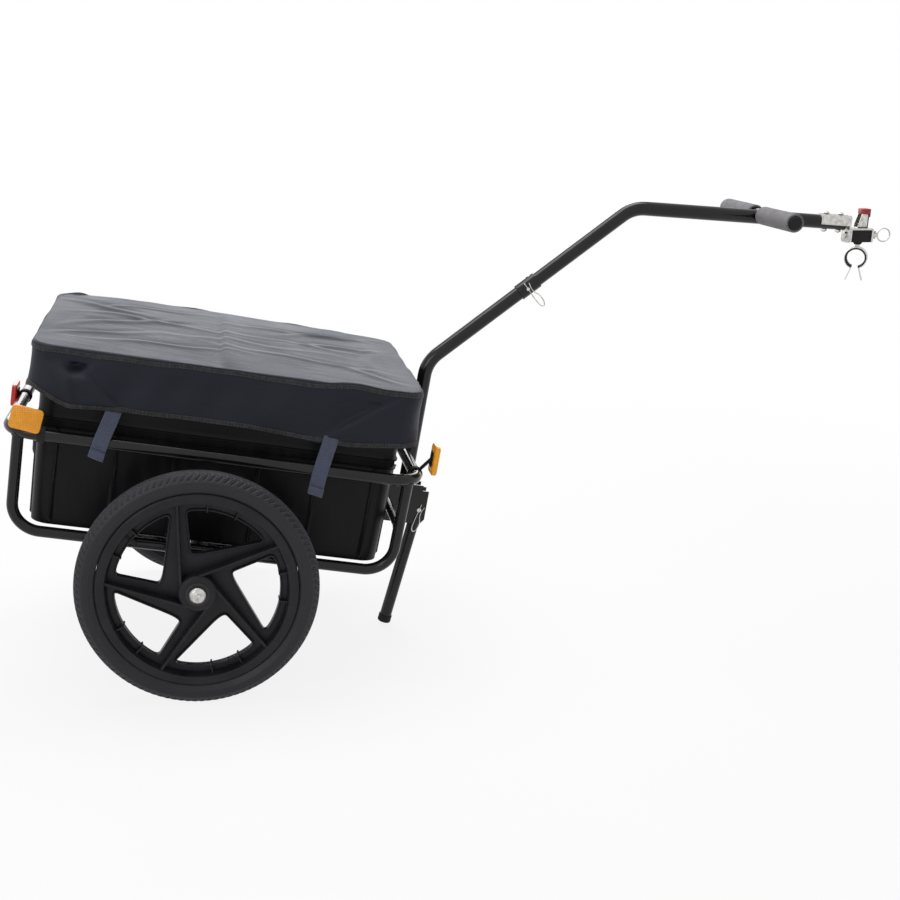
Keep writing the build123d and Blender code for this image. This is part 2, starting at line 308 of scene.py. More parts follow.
def joined(name, grids, material, body, sharp=40):
    # Several closed grids in one piece: (points, closes along its rows, closes across)
    points, faces, count = [], [], 0
    for grid, closeRows, closeColumns in grids:
        points.append(grid.reshape(-1, 3))
        faces.append(gridFaces(*grid.shape[:2], closeRows, closeColumns) + count)
        count += grid.shape[0] * grid.shape[1]
    piece = makePiece(name, onTrailer(np.concatenate(points)), np.concatenate(faces), material)
    joinDoubles(piece)
    piece.data.set_sharp_from_angle(angle=math.radians(sharp))
    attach(piece, body)
    return piece


paint = {"colour": (0.0080, 0.0076, 0.0076), "dust": (0.016, 0.015, 0.014), "roughness": 0.13,
         "peel": 0.00004, "peelScale": 700}


def makePaint():
    # Gloss black stove enamel with a faint orange peel and a little dust
    material, wire = startMaterial("blackEnamel")
    place = coordinates(wire)
    dust = noise(wire, place, 14, 4).ranged(0.5, 0.75, 0, 1)
    peel = noise(wire, place, paint["peelScale"], 2)
    rubbed = noise(wire, place, 90, 5, 0.7).ranged(0.45, 0.8, 0, 0.14)
    return endMaterial(material, wire, {
        "Base Color": dust.mixed(paint["colour"], paint["dust"]),
        "Roughness": rubbed + paint["roughness"],
        "Specular IOR Level": 0.32,
        "Normal": bumped(wire, peel, paint["peel"])})


zinc = {"colour": (0.66, 0.65, 0.63), "dark": (0.38, 0.37, 0.355), "roughness": 0.24}


def makeZinc():
    # Bright zinc plate: spangle, dull patches and fine scratches
    material, wire = startMaterial("zincPlate")
    patches = noise(wire, coordinates(wire), 160, 5, 0.6).ranged(0.35, 0.7, 0, 1)
    scratches = noise(wire, coordinates(wire, scale=(900, 90, 900)), 1, 2)
    return endMaterial(material, wire, {
        "Base Color": patches.mixed(zinc["colour"], zinc["dark"]),
        "Metallic": 1.0,
        "Roughness": patches * 0.16 + zinc["roughness"],
        "Normal": bumped(wire, scratches, 0.00003)})


wheelPlastic = {"colour": (0.0125, 0.0126, 0.0150), "worn": (0.025, 0.0252, 0.0295),
                "roughness": 0.36}


def makeWheelPlastic():
    # Glass-filled nylon: a fine grain with flow marks
    material, wire = startMaterial("wheelNylon")
    place = coordinates(wire)
    flow = noise(wire, place, 18, 5, 0.6).ranged(0.4, 0.75, 0, 1)
    grain = noise(wire, place, 1500, 3, 0.7)
    return endMaterial(material, wire, {
        "Base Color": flow.mixed(wheelPlastic["colour"], wheelPlastic["worn"]),
        "Roughness": flow * 0.12 + wheelPlastic["roughness"],
        "Specular IOR Level": 0.22,
        "Normal": bumped(wire, grain, 0.00012)})


tubPlastic = {"colour": (0.0052, 0.0052, 0.0060), "worn": (0.010, 0.010, 0.0115),
              "roughness": 0.36}


def makeTubPlastic():
    # Polypropylene: leathery mould grain, scuffed in faint upright streaks
    material, wire = startMaterial("tubPolypropylene")
    scuffs = noise(wire, coordinates(wire, scale=(60, 60, 9)), 1, 5, 0.6).ranged(0.45, 0.75, 0, 1)
    grain = wire.node("TexVoronoi", {}, {"Vector": coordinates(wire), "Scale": 900})
    return endMaterial(material, wire, {
        "Base Color": scuffs.mixed(tubPlastic["colour"], tubPlastic["worn"]),
        "Roughness": scuffs * 0.14 + tubPlastic["roughness"],
        "Specular IOR Level": 0.14,
        "Normal": bumped(wire, grain, 0.0001)})


rubber = {"colour": (0.008, 0.008, 0.009), "bloom": (0.024, 0.024, 0.027), "roughness": 0.6}


def makeRubber():
    # Black rubber with a pale bloom and a dull, pitted skin
    material, wire = startMaterial("blackRubber")
    place = coordinates(wire)
    bloom = noise(wire, place, 45, 6, 0.65).ranged(0.4, 0.75, 0, 1)
    pits = noise(wire, place, 1100, 3, 0.7)
    return endMaterial(material, wire, {
        "Base Color": bloom.mixed(rubber["colour"], rubber["bloom"]),
        "Roughness": bloom * 0.15 + rubber["roughness"],
        "Specular IOR Level": 0.25,
        "Normal": bumped(wire, pits, 0.00015)})


tyreRubber = {"colour": (0.024, 0.024, 0.0285), "bloom": (0.045, 0.045, 0.053),
              "flank": (0.0195, 0.0192, 0.0235), "roughness": 0.5, "flankFrom": 0.27}


def makeTyreRubber():
    # Tread and flanks: the map's second number is 0 at one bead, 0.5 on the crown and 1 at
    # the other bead. The tread is duller and greyer, the flanks smoother and darker.
    material, wire = startMaterial("tyreRubber")
    place = coordinates(wire)
    _, acrossTyre, _ = uvMap(wire).axes()
    flank = (acrossTyre - 0.5).size().ranged(tyreRubber["flankFrom"] - 0.03,
                                             tyreRubber["flankFrom"] + 0.01, 0, 1)
    bloom = noise(wire, place, 30, 6, 0.65).ranged(0.4, 0.75, 0, 1)
    pits = noise(wire, place, 1300, 3, 0.7)
    tread = bloom.mixed(tyreRubber["colour"], tyreRubber["bloom"])
    return endMaterial(material, wire, {
        "Base Color": flank.mixed(tread, tyreRubber["flank"]),
        "Roughness": bloom * 0.12 + tyreRubber["roughness"] - flank * 0.08,
        "Specular IOR Level": 0.3,
        "Sheen Weight": 0.12, "Sheen Roughness": 0.35, "Sheen Tint": (0.72, 0.8, 1.0, 1),
        "Normal": bumped(wire, pits, 0.00012)})


foam = {"colour": (0.32, 0.31, 0.325), "pore": (0.165, 0.16, 0.168), "poreScale": 900}


def makeFoam():
    # Closed-cell grip foam: pores show dark, the skin is matt
    material, wire = startMaterial("gripFoam")
    place = coordinates(wire)
    cells = wire.node("TexVoronoi", {}, {"Vector": place, "Scale": foam["poreScale"]})
    pores = cells.ranged(0.2, 0.6, 0, 1)
    handled = noise(wire, place, 40, 4).ranged(0.4, 0.7, 0.68, 0.95)
    return endMaterial(material, wire, {
        "Base Color": pores.mixed(foam["colour"], foam["pore"]),
        "Roughness": handled,
        "Specular IOR Level": 0.2,
        "Normal": bumped(wire, cells, 0.0004, 0.6)})


bearing = {"race": 0.0093, "shield": 0.0215, "metal": (0.5, 0.49, 0.47),
           "seal": (0.010, 0.010, 0.011)}


def makeBearing():
    # Steel races round a rubber seal: the seal lies between two distances from the axle
    material, wire = startMaterial("bearingSteel")
    x, _, z = coordinates(wire).axes()
    x, z = x - axleCentre.x, z - axleCentre.z
    radius = wire.math("SQRT", x * x + z * z)
    seal = (radius > bearing["race"]) * (1 - (radius > bearing["shield"]))
    turned = (radius * (tau * 2600)).sine()
    return endMaterial(material, wire, {
        "Base Color": seal.mixed(bearing["metal"], bearing["seal"]),
        "Metallic": 1 - seal,
        "Roughness": seal * 0.35 + 0.22,
        "Normal": bumped(wire, turned, 0.00002)})


cloth = {"colour": (0.0085, 0.0089, 0.0140), "faded": (0.0148, 0.0155, 0.0235), "threads": 1500,
         "roughness": 0.5}


def makeCloth():
    # Coated oxford weave: warp and weft cross as a checker of small crowns, with slubs
    # and chalky creases
    material, wire = startMaterial("coverCloth")
    across, down, _ = uvMap(wire).axes()
    warp = (across * (cloth["threads"] * math.pi)).sine().size()
    weft = (down * (cloth["threads"] * math.pi)).sine().size()
    weave = wire.math("MAXIMUM", warp, weft)
    place = coordinates(wire)
    faded = noise(wire, place, 9, 6, 0.62).ranged(0.38, 0.72, 0, 1)
    slubs = noise(wire, coordinates(wire, scale=(40, 40, 400)), 1, 3).ranged(0.4, 0.7, 0, 1)
    rumple = noise(wire, coordinates(wire, scale=(22, 60, 60)), 1, 4, 0.55)
    soft = bumped(wire, rumple, 0.0016, 0.55)
    return endMaterial(material, wire, {
        "Base Color": (faded * 0.8 + slubs * 0.2).mixed(cloth["colour"], cloth["faded"]),
        "Roughness": faded * 0.1 + cloth["roughness"],
        "Specular IOR Level": 0.26, "Specular Tint": (0.80, 0.87, 1.0, 1),
        "Sheen Weight": 0.13, "Sheen Roughness": 0.3, "Sheen Tint": (0.58, 0.70, 1.0, 1),
        "Normal": bumped(wire, weave, 0.00012, 0.6, soft)})


binding = {"colour": (0.014, 0.0135, 0.0150), "pale": (0.050, 0.048, 0.050), "ribs": 700}


def makeBinding():
    # Grosgrain tape: fine ribs across it, and rubbed pale along its raised places
    material, wire = startMaterial("bindingTape")
    along, _, _ = uvMap(wire).axes()
    ribs = (along * (binding["ribs"] * tau)).sine()
    rubbed = noise(wire, coordinates(wire), 150, 5, 0.7).ranged(0.42, 0.68, 0, 1)
    return endMaterial(material, wire, {
        "Base Color": rubbed.mixed(binding["colour"], binding["pale"]),
        "Roughness": rubbed * 0.1 + 0.62,
        "Specular IOR Level": 0.3,
        "Sheen Weight": 0.15, "Sheen Roughness": 0.4,
        "Normal": bumped(wire, ribs, 0.00012)})


loopTape = {"colour": (0.062, 0.072, 0.112), "pale": (0.16, 0.18, 0.255)}


def makeLoopTape():
    # Loop side of hook-and-loop tape: a brushed nap
    material, wire = startMaterial("loopTape")
    nap = noise(wire, coordinates(wire), 800, 5, 0.75)
    tufts = nap.ranged(0.35, 0.7, 0, 1)
    return endMaterial(material, wire, {
        "Base Color": tufts.mixed(loopTape["colour"], loopTape["pale"]),
        "Roughness": nap * 0.1 + 0.85,
        "Specular IOR Level": 0.2,
        "Sheen Weight": 0.3, "Sheen Roughness": 0.4,
        "Normal": bumped(wire, nap, 0.0005)})


def makeThread():
    # Twisted polyester: pale and dark by turns
    material, wire = startMaterial("sewingThread")
    lengthwise, _, _ = coordinates(wire).axes()
    twist = (lengthwise * 9000).sine()
    return endMaterial(material, wire, {
        "Base Color": twist.ranged(-1, 1, 0, 1).mixed((0.06, 0.056, 0.056), (0.15, 0.145, 0.145)),
        "Roughness": 0.6,
        "Normal": bumped(wire, twist, 0.0001)})


# glow is the strength of the lenses' painted glow
lens = {"prism": 0.0034, "cut": 0.0011, "glow": 0.20}


def makeLens(name, colour, deep):
    # Prismatic lens: rows of small pyramids under a clear, glossy face. The facets' tilt
    # comes from three saw-tooth waves along the trailer's own axes.
    material, wire = startMaterial(name)
    waves = [((axis / lens["prism"]).fraction() - 0.5).size() for axis in coordinates(wire).axes()]
    pyramid = wire.math("MINIMUM", wire.math("MINIMUM", waves[0], waves[1]), waves[2])
    cloud = noise(wire, coordinates(wire), 120, 3).ranged(0.35, 0.7, 0, 0.5)
    facets = pyramid.ranged(0.02, 0.22, 0, 1)
    return endMaterial(material, wire, {
        "Base Color": (facets * 0.7 + cloud * 0.6).mixed(colour, deep),
        "Roughness": facets * 0.1 + 0.14,
        "Specular IOR Level": 0.3, "Coat Weight": 0.35, "Coat Roughness": 0.05,
        # painted glow: the lens gives off light in its own colour though it is no lamp, standing in
        # for the light a reflector sends back
        "Emission Color": (*colour, 1), "Emission Strength": lens["glow"],
        "Normal": bumped(wire, pyramid, lens["cut"], 0.7)})


capRedPaint = {"colour": (0.42, 0.035, 0.03), "worn": (0.30, 0.02, 0.02)}


def makeCapRed():
    # Soft red vinyl with a satin skin and darker handling marks
    material, wire = startMaterial("redVinyl")
    marks = noise(wire, coordinates(wire), 220, 4, 0.6).ranged(0.4, 0.7, 0, 1)
    return endMaterial(material, wire, {
        "Base Color": marks.mixed(capRedPaint["colour"], capRedPaint["worn"]),
        "Roughness": marks * 0.15 + 0.3,
        "Normal": bumped(wire, marks, 0.00008)})


finishes = {
    "black_steel": makePaint(), "zinc_steel": makeZinc(), "wheel_plastic": makeWheelPlastic(),
    "tub_plastic": makeTubPlastic(), "grip_foam": makeFoam(), "tyre_rubber": makeTyreRubber(),
    "rubber": makeRubber(), "cover_fabric": makeCloth(),
    "amber_lens": makeLens("amberLens", (0.90, 0.38, 0.004), (0.62, 0.19, 0.002)),
    "red_lens": makeLens("redLens", (0.62, 0.02, 0.015), (0.28, 0.006, 0.005))}
tape, strapTape, thread, bearingSteel = makeBinding(), makeLoopTape(), makeThread(), makeBearing()
capRed = makeCapRed()

for name, node in nodes.items():
    for socket in node.material_slots:
        socket.material = (bearingSteel if name.startswith("hub_bearings")
                           else finishes[socket.material.name.split(".")[0]])
print("finishes: done")


cover = {"centre": 0.010, "length": 0.641, "width": 0.4578, "corner": 0.036, "hemSpread": 0.0045,
         "steps": 70, "down": 40, "crown": 0.010, "thickness": 0.0011, "rimTop": 0.3507,
         "edgePlaces": (-0.31, -0.20, 0.0, 0.20, 0.33),
         "nearEdge": (0.3480, 0.3500, 0.3515, 0.3525, 0.3545),
         "farEdge": (0.3590, 0.3650, 0.3640, 0.3600, 0.3570),
         "hemPlaces": (-0.32, -0.296, -0.275, -0.238, -0.184, -0.148, -0.095, 0.027, 0.135, 0.219,
                       0.303, 0.33),
         "hemHeights": (0.284, 0.280, 0.264, 0.254, 0.263, 0.260, 0.257, 0.262, 0.252, 0.251,
                        0.258, 0.260)}


def roundedOutline(share, length, width, corner):
    # A rectangle with rounded corners, by share of its own way round from the middle of
    # its rear end, through its near side: straight runs and quarter circles at even pace
    turn = np.linspace(0, tau / 4, 24)
    places = []
    for k, (sx, sy) in enumerate([(-1, -1), (1, -1), (1, 1), (-1, 1)]):
        middle = np.array([sx * (length / 2 - corner), sy * (width / 2 - corner)])
        start = math.pi + k * math.pi / 2
        places.append(middle + corner * np.stack([np.cos(start + turn), np.sin(start + turn)], -1))
    rear = np.array([[-length / 2, 0.0]])
    line = np.concatenate([rear, *places, rear])
    reach = np.concatenate([[0], np.cumsum(np.linalg.norm(np.diff(line, axis=0), axis=1))])
    return np.stack([np.interp(share * reach[-1], reach, line[:, i]) for i in (0, 1)], -1)


def eased(x, places, values):
    # A line through the values with its corners eased by averaging five shifted copies
    shifts = np.linspace(-0.02, 0.02, 5)
    return np.mean([np.interp(x + shift, places, values) for shift in shifts], 0)


def bell(x):
    return np.exp(-x * x)


def ramp(x, start, end):
    # 0 before start, 1 after end, and a smooth step between them
    t = np.clip((x - start) / (end - start), 0, 1)
    return t * t * (3 - 2 * t)


def seamLine(share):
    # The seam between top and skirt: the outline, at the height the cloth has near and far,
    # with puckers where the tape draws it in
    flat = roundedOutline(share, cover["length"], cover["width"], cover["corner"])
    x, y = flat[:, 0] + cover["centre"], flat[:, 1]
    near = eased(x, cover["edgePlaces"], cover["nearEdge"])
    far = eased(x, cover["edgePlaces"], cover["farEdge"])
    z = near + (far - near) * np.clip(y / cover["width"] + 0.5, 0, 1)
    z = z + 0.0010 * np.sin(share * tau * 9 + 1) + 0.0007 * np.sin(share * tau * 23 + 2)
    for rise, middle, width, farSide in ((-0.0075, -0.236, 0.020, True),
                                         (0.0035, -0.275, 0.02, True),
                                         (0.0030, 0.215, 0.045, False),
                                         (-0.0025, 0.135, 0.03, False)):
        z = z + rise * bell((x - middle) / width) * ((y > 0.1) if farSide else (y < -0.1))
    return np.stack([x, y, z], -1)


wrinkles = [  # x, y, direction in degrees, length, width, height
    (-0.22, -0.10, 22, 0.10, 0.010, 0.0026), (-0.19, 0.00, 30, 0.09, 0.012, 0.0030),
    (-0.24, 0.13, -30, 0.08, 0.012, 0.0036), (-0.15, 0.05, -12, 0.10, 0.010, 0.0022),
    (-0.10, -0.13, 6, 0.12, 0.008, 0.0018), (-0.06, 0.02, -4, 0.10, 0.009, 0.0014),
    (0.12, 0.12, 10, 0.12, 0.010, 0.0020), (0.20, 0.13, 26, 0.09, 0.011, 0.0034),
    (0.22, 0.05, 20, 0.08, 0.010, 0.0028), (0.14, -0.10, -7, 0.13, 0.009, 0.0018),
    (0.25, -0.15, -32, 0.07, 0.010, 0.0028), (0.05, -0.04, 3, 0.14, 0.010, 0.0014),
    (0.16, 0.02, -3, 0.10, 0.008, 0.0014), (-0.26, -0.02, 78, 0.09, 0.014, 0.0018),
    (0.265, 0.00, 84, 0.10, 0.012, 0.0022), (-0.12, 0.15, 8, 0.09, 0.009, 0.0020)]


def topRelief(x, y):
    # Ridges of cloth: each is a bell across its own direction, with a hollow beside it, and
    # a longer bell along it. The fold across the middle comes first.
    height = (0.0026 * np.tanh((x + 0.004) / 0.0022) * bell((x + 0.004) / 0.022)
              + 0.0022 * bell((x + 0.004) / 0.05))
    for middleX, middleY, turn, length, width, rise in wrinkles:
        c, s = math.cos(math.radians(turn)), math.sin(math.radians(turn))
        along = (x - middleX) * c + (y - middleY) * s
        off = (y - middleY) * c - (x - middleX) * s + 0.006 * np.sin(along * 40)
        height = height + rise * bell(along / length) * (bell(off / width)
                                                         - 0.6 * bell((off - 1.8 * width) / width))
    return height


def squareShare(u, v):
    # The share of the way round the seam, from the middle of the rear end through the near
    # side, of the point where a ray through a place of the square meets its edge
    ring = np.maximum(np.maximum(np.abs(u), np.abs(v)), 1e-9)
    length, width = cover["length"], cover["width"]
    a, b = u / ring * length / 2, v / ring * width / 2
    whole = 2 * (length + width)
    near = (width / 2 + a + length / 2) / whole
    front = (width + length + b) / whole
    far = (width * 1.5 + 1.5 * length - a) / whole
    rear = (-b / whole) % 1.0
    return np.where(np.isclose(v, -ring), near, np.where(np.isclose(u, ring), front, np.where(
        np.isclose(v, ring), far, rear)))


def topPanel(u, v):
    # The top: a square of two parameters from -1 to 1, laid on to the seam by square rings.
    # Its height is the seam's level and a crown, kept over the tub's rim, with the relief
    # faded out towards the edge, and it rounds over on to the seam like a quarter circle.
    ring = np.maximum(np.abs(u), np.abs(v))
    edge = seamLine(squareShare(u, v).ravel()).reshape(*u.shape, 3)
    x = cover["centre"] + (edge[..., 0] - cover["centre"]) * ring
    y = edge[..., 1] * ring
    blend = np.clip(y / cover["width"] + 0.5, 0, 1)
    level = (eased(x, cover["edgePlaces"], cover["nearEdge"]) * (1 - blend)
             + eased(x, cover["edgePlaces"], cover["farEdge"]) * blend)
    raised = (np.maximum(level, cover["rimTop"] + 0.0012) + cover["crown"] * (1 - ring ** 2) * 0.5
              + topRelief(x, y) * (1 - ring ** 7))
    lip = np.sqrt(1 - (1 - ramp(1 - ring, 0, 0.013)) ** 2)
    z = edge[..., 2] + (np.maximum(raised, cover["rimTop"]) - edge[..., 2]) * lip
    return np.stack([x, y, z], -1)


def skirtFolds(share, t, x, y):
    # How far the skirt stands out from the straight fall between seam and hem: slow waves
    # held in at both ends, the tucked rear corner with the two folds that leave it, and the
    # fold that runs back and down from the front corner
    hold = np.sin(np.pi * np.clip(t, 0, 1)) ** 0.8
    waves = (0.0026 * np.sin(share * tau * 7 + 0.8) + 0.0018 * np.sin(share * tau * 13 + 2 + 2 * t)
             + 0.0008 * np.sin(share * tau * 31 + 3 * t))
    near = ramp(-y, 0.15, 0.20)
    pocket = bell((x + 0.236 + 0.06 * (t - 0.30)) / 0.014) * bell((t - 0.27) / 0.15)
    tuck = bell((x + 0.262 - 0.05 * t) / 0.016) * bell((t - 0.12) / 0.10)
    lineA = x + 0.262 - 0.025 * t                     # from the pocket straight down
    ridgeA = bell(lineA / 0.010) * ramp(t, 0.15, 0.45)
    lineB = x + 0.238 - 0.115 * (t - 0.30)            # from the pocket down and forward
    ridgeB = (np.where(lineB < 0, bell(lineB / 0.045), bell(lineB / 0.010))
              * ramp(t, 0.28, 0.50) * (1 - 0.35 * ramp(t, 0.85, 1.0)))
    lineC = x - (0.305 - 0.150 * t)                   # from the front corner down and back
    ridgeC = np.tanh(lineC / 0.0035) * bell(lineC / 0.050) * hold * ramp(x, 0.10, 0.18)
    dimples = (bell((x + 0.08) / 0.03) * bell((t - 0.45) / 0.3)
               + 0.8 * bell((x + 0.155) / 0.022) * bell((t - 0.55) / 0.25))
    far = (bell((x + 0.255 + 0.04 * t) / 0.022) + bell((x - 0.290 - 0.02 * t) / 0.02)
           ) * bell((t - 0.4) / 0.3)
    return (hold * (0.0016 + waves) - near * (0.0155 * pocket + 0.0040 * tuck)
            + near * (0.0060 * ridgeA + 0.0095 * ridgeB + 0.0055 * ridgeC - 0.0042 * dimples * hold)
            - ramp(y, 0.15, 0.20) * 0.006 * far)


def skirtPanel(share, t):
    # The skirt falls from the seam to the hem line, which stands out a little more, and its
    # folds push it along the outline's own outward direction
    edge = seamLine(share)
    hemFlat = roundedOutline(share, cover["length"] + 2 * cover["hemSpread"],
                             cover["width"] + 2 * cover["hemSpread"], cover["corner"] + 0.006)
    hemX, hemY = hemFlat[:, 0] + cover["centre"], hemFlat[:, 1]
    hemZ = eased(hemX, cover["hemPlaces"], cover["hemHeights"]) + 0.0014 * np.sin(share * tau * 11)
    hemZ = hemZ + (0.262 - hemZ) * bell((hemX + 0.325) / 0.012) * 0.7
    flow = alongLine(np.stack([hemX, hemY, np.zeros_like(hemX)], -1), True)
    out = np.stack([flow[:, 1], -flow[:, 0], np.zeros_like(hemX)], -1)
    hemOut = 0.0014 * np.sin(share * tau * 8 + 1) + 0.0009 * np.sin(share * tau * 17)
    hem = np.stack([hemX, hemY, hemZ], -1) + out * hemOut[:, None]
    grid = edge[:, None] + (hem - edge)[:, None] * t[None, :, None]
    push = skirtFolds(share[:, None], t[None, :], grid[..., 0], grid[..., 1])
    clear = 0.2292 - (np.abs(grid[..., 1]) + push * np.abs(out[:, None, 1]))
    push = push + np.clip(clear, 0, None) * (np.abs(out[:, None, 1]) > 0.9) * (grid[..., 2] > 0.330)
    return grid + out[:, None] * push[..., None], out


def makeCover():
    # One cloth: the top's square grid, and the skirt hung from the same edge points
    steps, down = cover["steps"], cover["down"]
    q = np.linspace(-1, 1, 2 * steps + 1)
    q = np.sign(q) * (1 - (1 - np.abs(q)) ** 1.35)
    u, v = np.meshgrid(q, q, indexing="ij")
    top = topPanel(u, v)
    ids = np.arange(u.size).reshape(u.shape)
    rim = np.concatenate([ids[0, steps::-1], ids[1:, 0], ids[-1, 1:], ids[-2::-1, -1],
                          ids[0, -2:steps:-1]])
    share = squareShare(u, v).ravel()[rim]
    t = np.linspace(0, 1, down)
    skirt, out = skirtPanel(share, t)
    count = len(rim)
    wall = np.concatenate([rim[:, None],
                           u.size + np.arange(count * (down - 1)).reshape(count, -1)], 1)
    nextWall = np.roll(wall, -1, 0)
    sideFaces = np.stack([wall[:, :-1], wall[:, 1:], nextWall[:, 1:], nextWall[:, :-1]],
                         -1).reshape(-1, 4)
    topFaces = gridFaces(*u.shape)
    points = np.concatenate([top.reshape(-1, 3), skirt[:, 1:].reshape(-1, 3)])
    # the cloth's map is in metres: the top's own plan, and the skirt's way round and down
    way = np.append(share, 1.0) * 2.1
    skirtUv = np.stack(np.broadcast_arrays(way[:, None], 1.0 + t[None, :] * 0.105),
                       -1).reshape(-1, 2)
    skirtCorners = gridFaces(count + 1, down)[:, [0, 3, 2, 1]]
    cornerUv = np.concatenate([top[..., :2].reshape(-1, 2)[topFaces], skirtUv[skirtCorners]])
    piece = makePiece("cover_cloth", onTrailer(points), np.concatenate([topFaces, sideFaces]),
                      finishes["cover_fabric"], cornerUv)
    wallThickness = piece.modifiers.new("cloth", "SOLIDIFY")
    wallThickness.thickness, wallThickness.offset = cover["thickness"], 1
    return piece, skirt, out, share


coverCloth, skirt, skirtOut, skirtShare = makeCover()
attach(coverCloth, "cover")
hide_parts("cover")

tapes = {"seamWidth": 0.0065, "hemWidth": 0.0075, "thickness": 0.0011, "sides": 16,
         "stitch": 0.0034, "gap": 0.0021, "threadWidth": 0.0008}


def skirtLine(depth):
    # The line round the skirt at a share of its depth, with its directions down and out
    place = depth * (cover["down"] - 1)
    first = min(int(place), cover["down"] - 2)
    line = skirt[:, first] + (skirt[:, first + 1] - skirt[:, first]) * (place - first)
    down = unit(skirt[:, first + 1] - skirt[:, first])
    out = unit(np.cross(down, alongLine(line, True)))
    return line, down, out * np.sign((out * skirtOut).sum(-1, keepdims=True))


def makeTape(name, depth, width, lift):
    # A flat tape with a rounded edge, sewn on the skirt at a depth: its section is carried
    # round the skirt, and it is puckered a little between the stitches
    line, down, out = skirtLine(depth)
    pucker = 1 + 0.10 * np.sin(skirtShare * tau * 160)[:, None]
    section = softBar(tapes["sides"], 0.5) * [width / 2, tapes["thickness"] / 2]
    section = section[None] * np.stack([pucker, 2 - pucker], -1)
    points = carried(line + out * lift, down, out, section)
    faces = gridFaces(*points.shape[:2], True, True)
    way = np.stack(np.broadcast_arrays(
        np.append(skirtShare, 1.0)[:, None] * 2.1,
        np.arange(tapes["sides"] + 1)[None, :] / tapes["sides"]), -1).reshape(-1, 2)
    piece = makePiece(name, onTrailer(points), faces, tape,
                      way[gridFaces(len(points) + 1, tapes["sides"] + 1)])
    joinDoubles(piece)
    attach(piece, "cover")
    return piece


def makeStitches(name, depth, lift):
    # A row of lockstitches round the skirt: each is a short closed spindle of five rings,
    # pressed into the cloth at both ends
    line, down, out = skirtLine(depth)
    reach = np.concatenate([[0], np.cumsum(np.linalg.norm(
        np.diff(np.concatenate([line, line[:1]]), axis=0), axis=1))])
    pace = tapes["stitch"] + tapes["gap"]
    starts = np.arange(0, reach[-1] - pace, pace)
    k = np.linspace(0, 1, 5)
    places = starts[:, None] + k[None] * tapes["stitch"]
    at = [np.stack([np.interp(places, reach, np.append(field[:, i], field[0, i]))
                    for i in range(3)], -1) for field in (line, down, out)]
    swell = np.sqrt(np.clip(1 - (2 * k - 1) ** 2, 0, 1))
    turn = np.arange(6) * tau / 6
    radius = (tapes["threadWidth"] / 2 * swell)[None, :, None, None]
    raised = (lift - 0.0002 + 0.0002 * swell)[None, :, None, None]
    points = (at[0][:, :, None] + at[2][:, :, None] * raised
              + at[1][:, :, None] * (np.cos(turn)[:, None] * radius)
              + at[2][:, :, None] * (np.sin(turn)[:, None] * radius))
    one = gridFaces(5, 6, False, True)
    faces = (one[None] + (np.arange(len(starts)) * 30)[:, None, None]).reshape(-1, 4)
    piece = makePiece(name, onTrailer(points), faces, thread)
    joinDoubles(piece)
    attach(piece, "cover")
    return piece


skin = cover["thickness"] + tapes["thickness"] / 2
sewn = [makeTape("seam_tape", 0.052, tapes["seamWidth"], skin + 0.0002),
        makeTape("hem_tape", 0.945, tapes["hemWidth"], skin + 0.0002),
        makeStitches("seam_stitches", 0.078, skin + 0.0009),
        makeStitches("hem_stitches", 0.915, skin + 0.0009),
        makeStitches("hem_edge_stitches", 0.975, skin + 0.0009)]
print("cover: done")

straps = {  # x, y and z along each near strap, from the skirt over the ring to its end
    "rear": ((-0.1660, -0.2335, 0.2720), (-0.1740, -0.2400, 0.2420), (-0.1815, -0.2500, 0.2180),
             (-0.1840, -0.2520, 0.2080), (-0.1865, -0.2530, 0.1960), (-0.1890, -0.2535, 0.1830)),
    "front": ((0.1870, -0.2335, 0.2640), (0.1820, -0.2405, 0.2400), (0.1765, -0.2505, 0.2160),
              (0.1745, -0.2522, 0.2040), (0.1730, -0.2530, 0.1880), (0.1715, -0.2538, 0.1680)),
    "width": 0.0255, "thickness": 0.0018, "fold": 0.015, "rows": 60}


def makeStrap(name, route, side):
    # A flat strap: a rounded bar carried down a smooth line, turned back up on its own outside at
    # the end.
    route = np.array(route) * [1, side, 1]
    end = route[-1] + [0, side * -0.0030, -0.0008]
    up = unit(route[-2] - route[-1])
    route = np.concatenate([route, [end], [end + up * straps["fold"] + [0, side * -0.0005, 0]]])
    reach = np.concatenate([[0], np.cumsum(np.linalg.norm(np.diff(route, axis=0), axis=1))])
    way = np.linspace(0, reach[-1], straps["rows"])
    line = np.stack([np.interp(way, reach, route[:, i]) for i in range(3)], -1)
    padded = np.concatenate([line[:1], line, line[-1:]])
    line = (padded[:-2] + 2 * padded[1:-1] + padded[2:]) / 4
    flow = alongLine(line, False)
    lean = unit(route[3] - route[0])
    across = unit(np.cross(np.array([0, -side * 1.0, 0]), lean))[None] + np.zeros_like(line)
    out = unit(np.cross(flow, across))
    section = softBar(20, 0.45) * [straps["width"] / 2, straps["thickness"] / 2]
    points = carried(line, across, out, section, False)
    piece = makePiece(name, onTrailer(points), gridFaces(*points.shape[:2], False, True), strapTape)
    joinDoubles(piece)
    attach(piece, "cover")
    return piece


for end in ("rear", "front"):
    for name, side in (("right", 1), ("left", -1)):
        makeStrap(f"strap_{end}_{name}", straps[end], side)
print("straps: done")

tyre = {"radius": 0.200, "pitches": 105, "perPitch": 9, "rows": 84,
        # half the section: place across and radius, from the crown down to the bead
        "section": ((0, 0.2000), (0.0060, 0.1996), (0.0125, 0.1975), (0.0185, 0.1928),
                    (0.0217, 0.1868), (0.0225, 0.1812), (0.0212, 0.1752), (0.0180, 0.1694),
                    (0.0158, 0.1664)),
        "pitchLength": 12.0, "grooveDepth": 0.0019, "barDepth": 0.0025, "ringHeight": 0.0008,
        # moulded rings on the flank: millimetres from the crown, and width
        "rings": ((28.5, 0.7), (31.0, 0.5), (38.5, 0.9))}


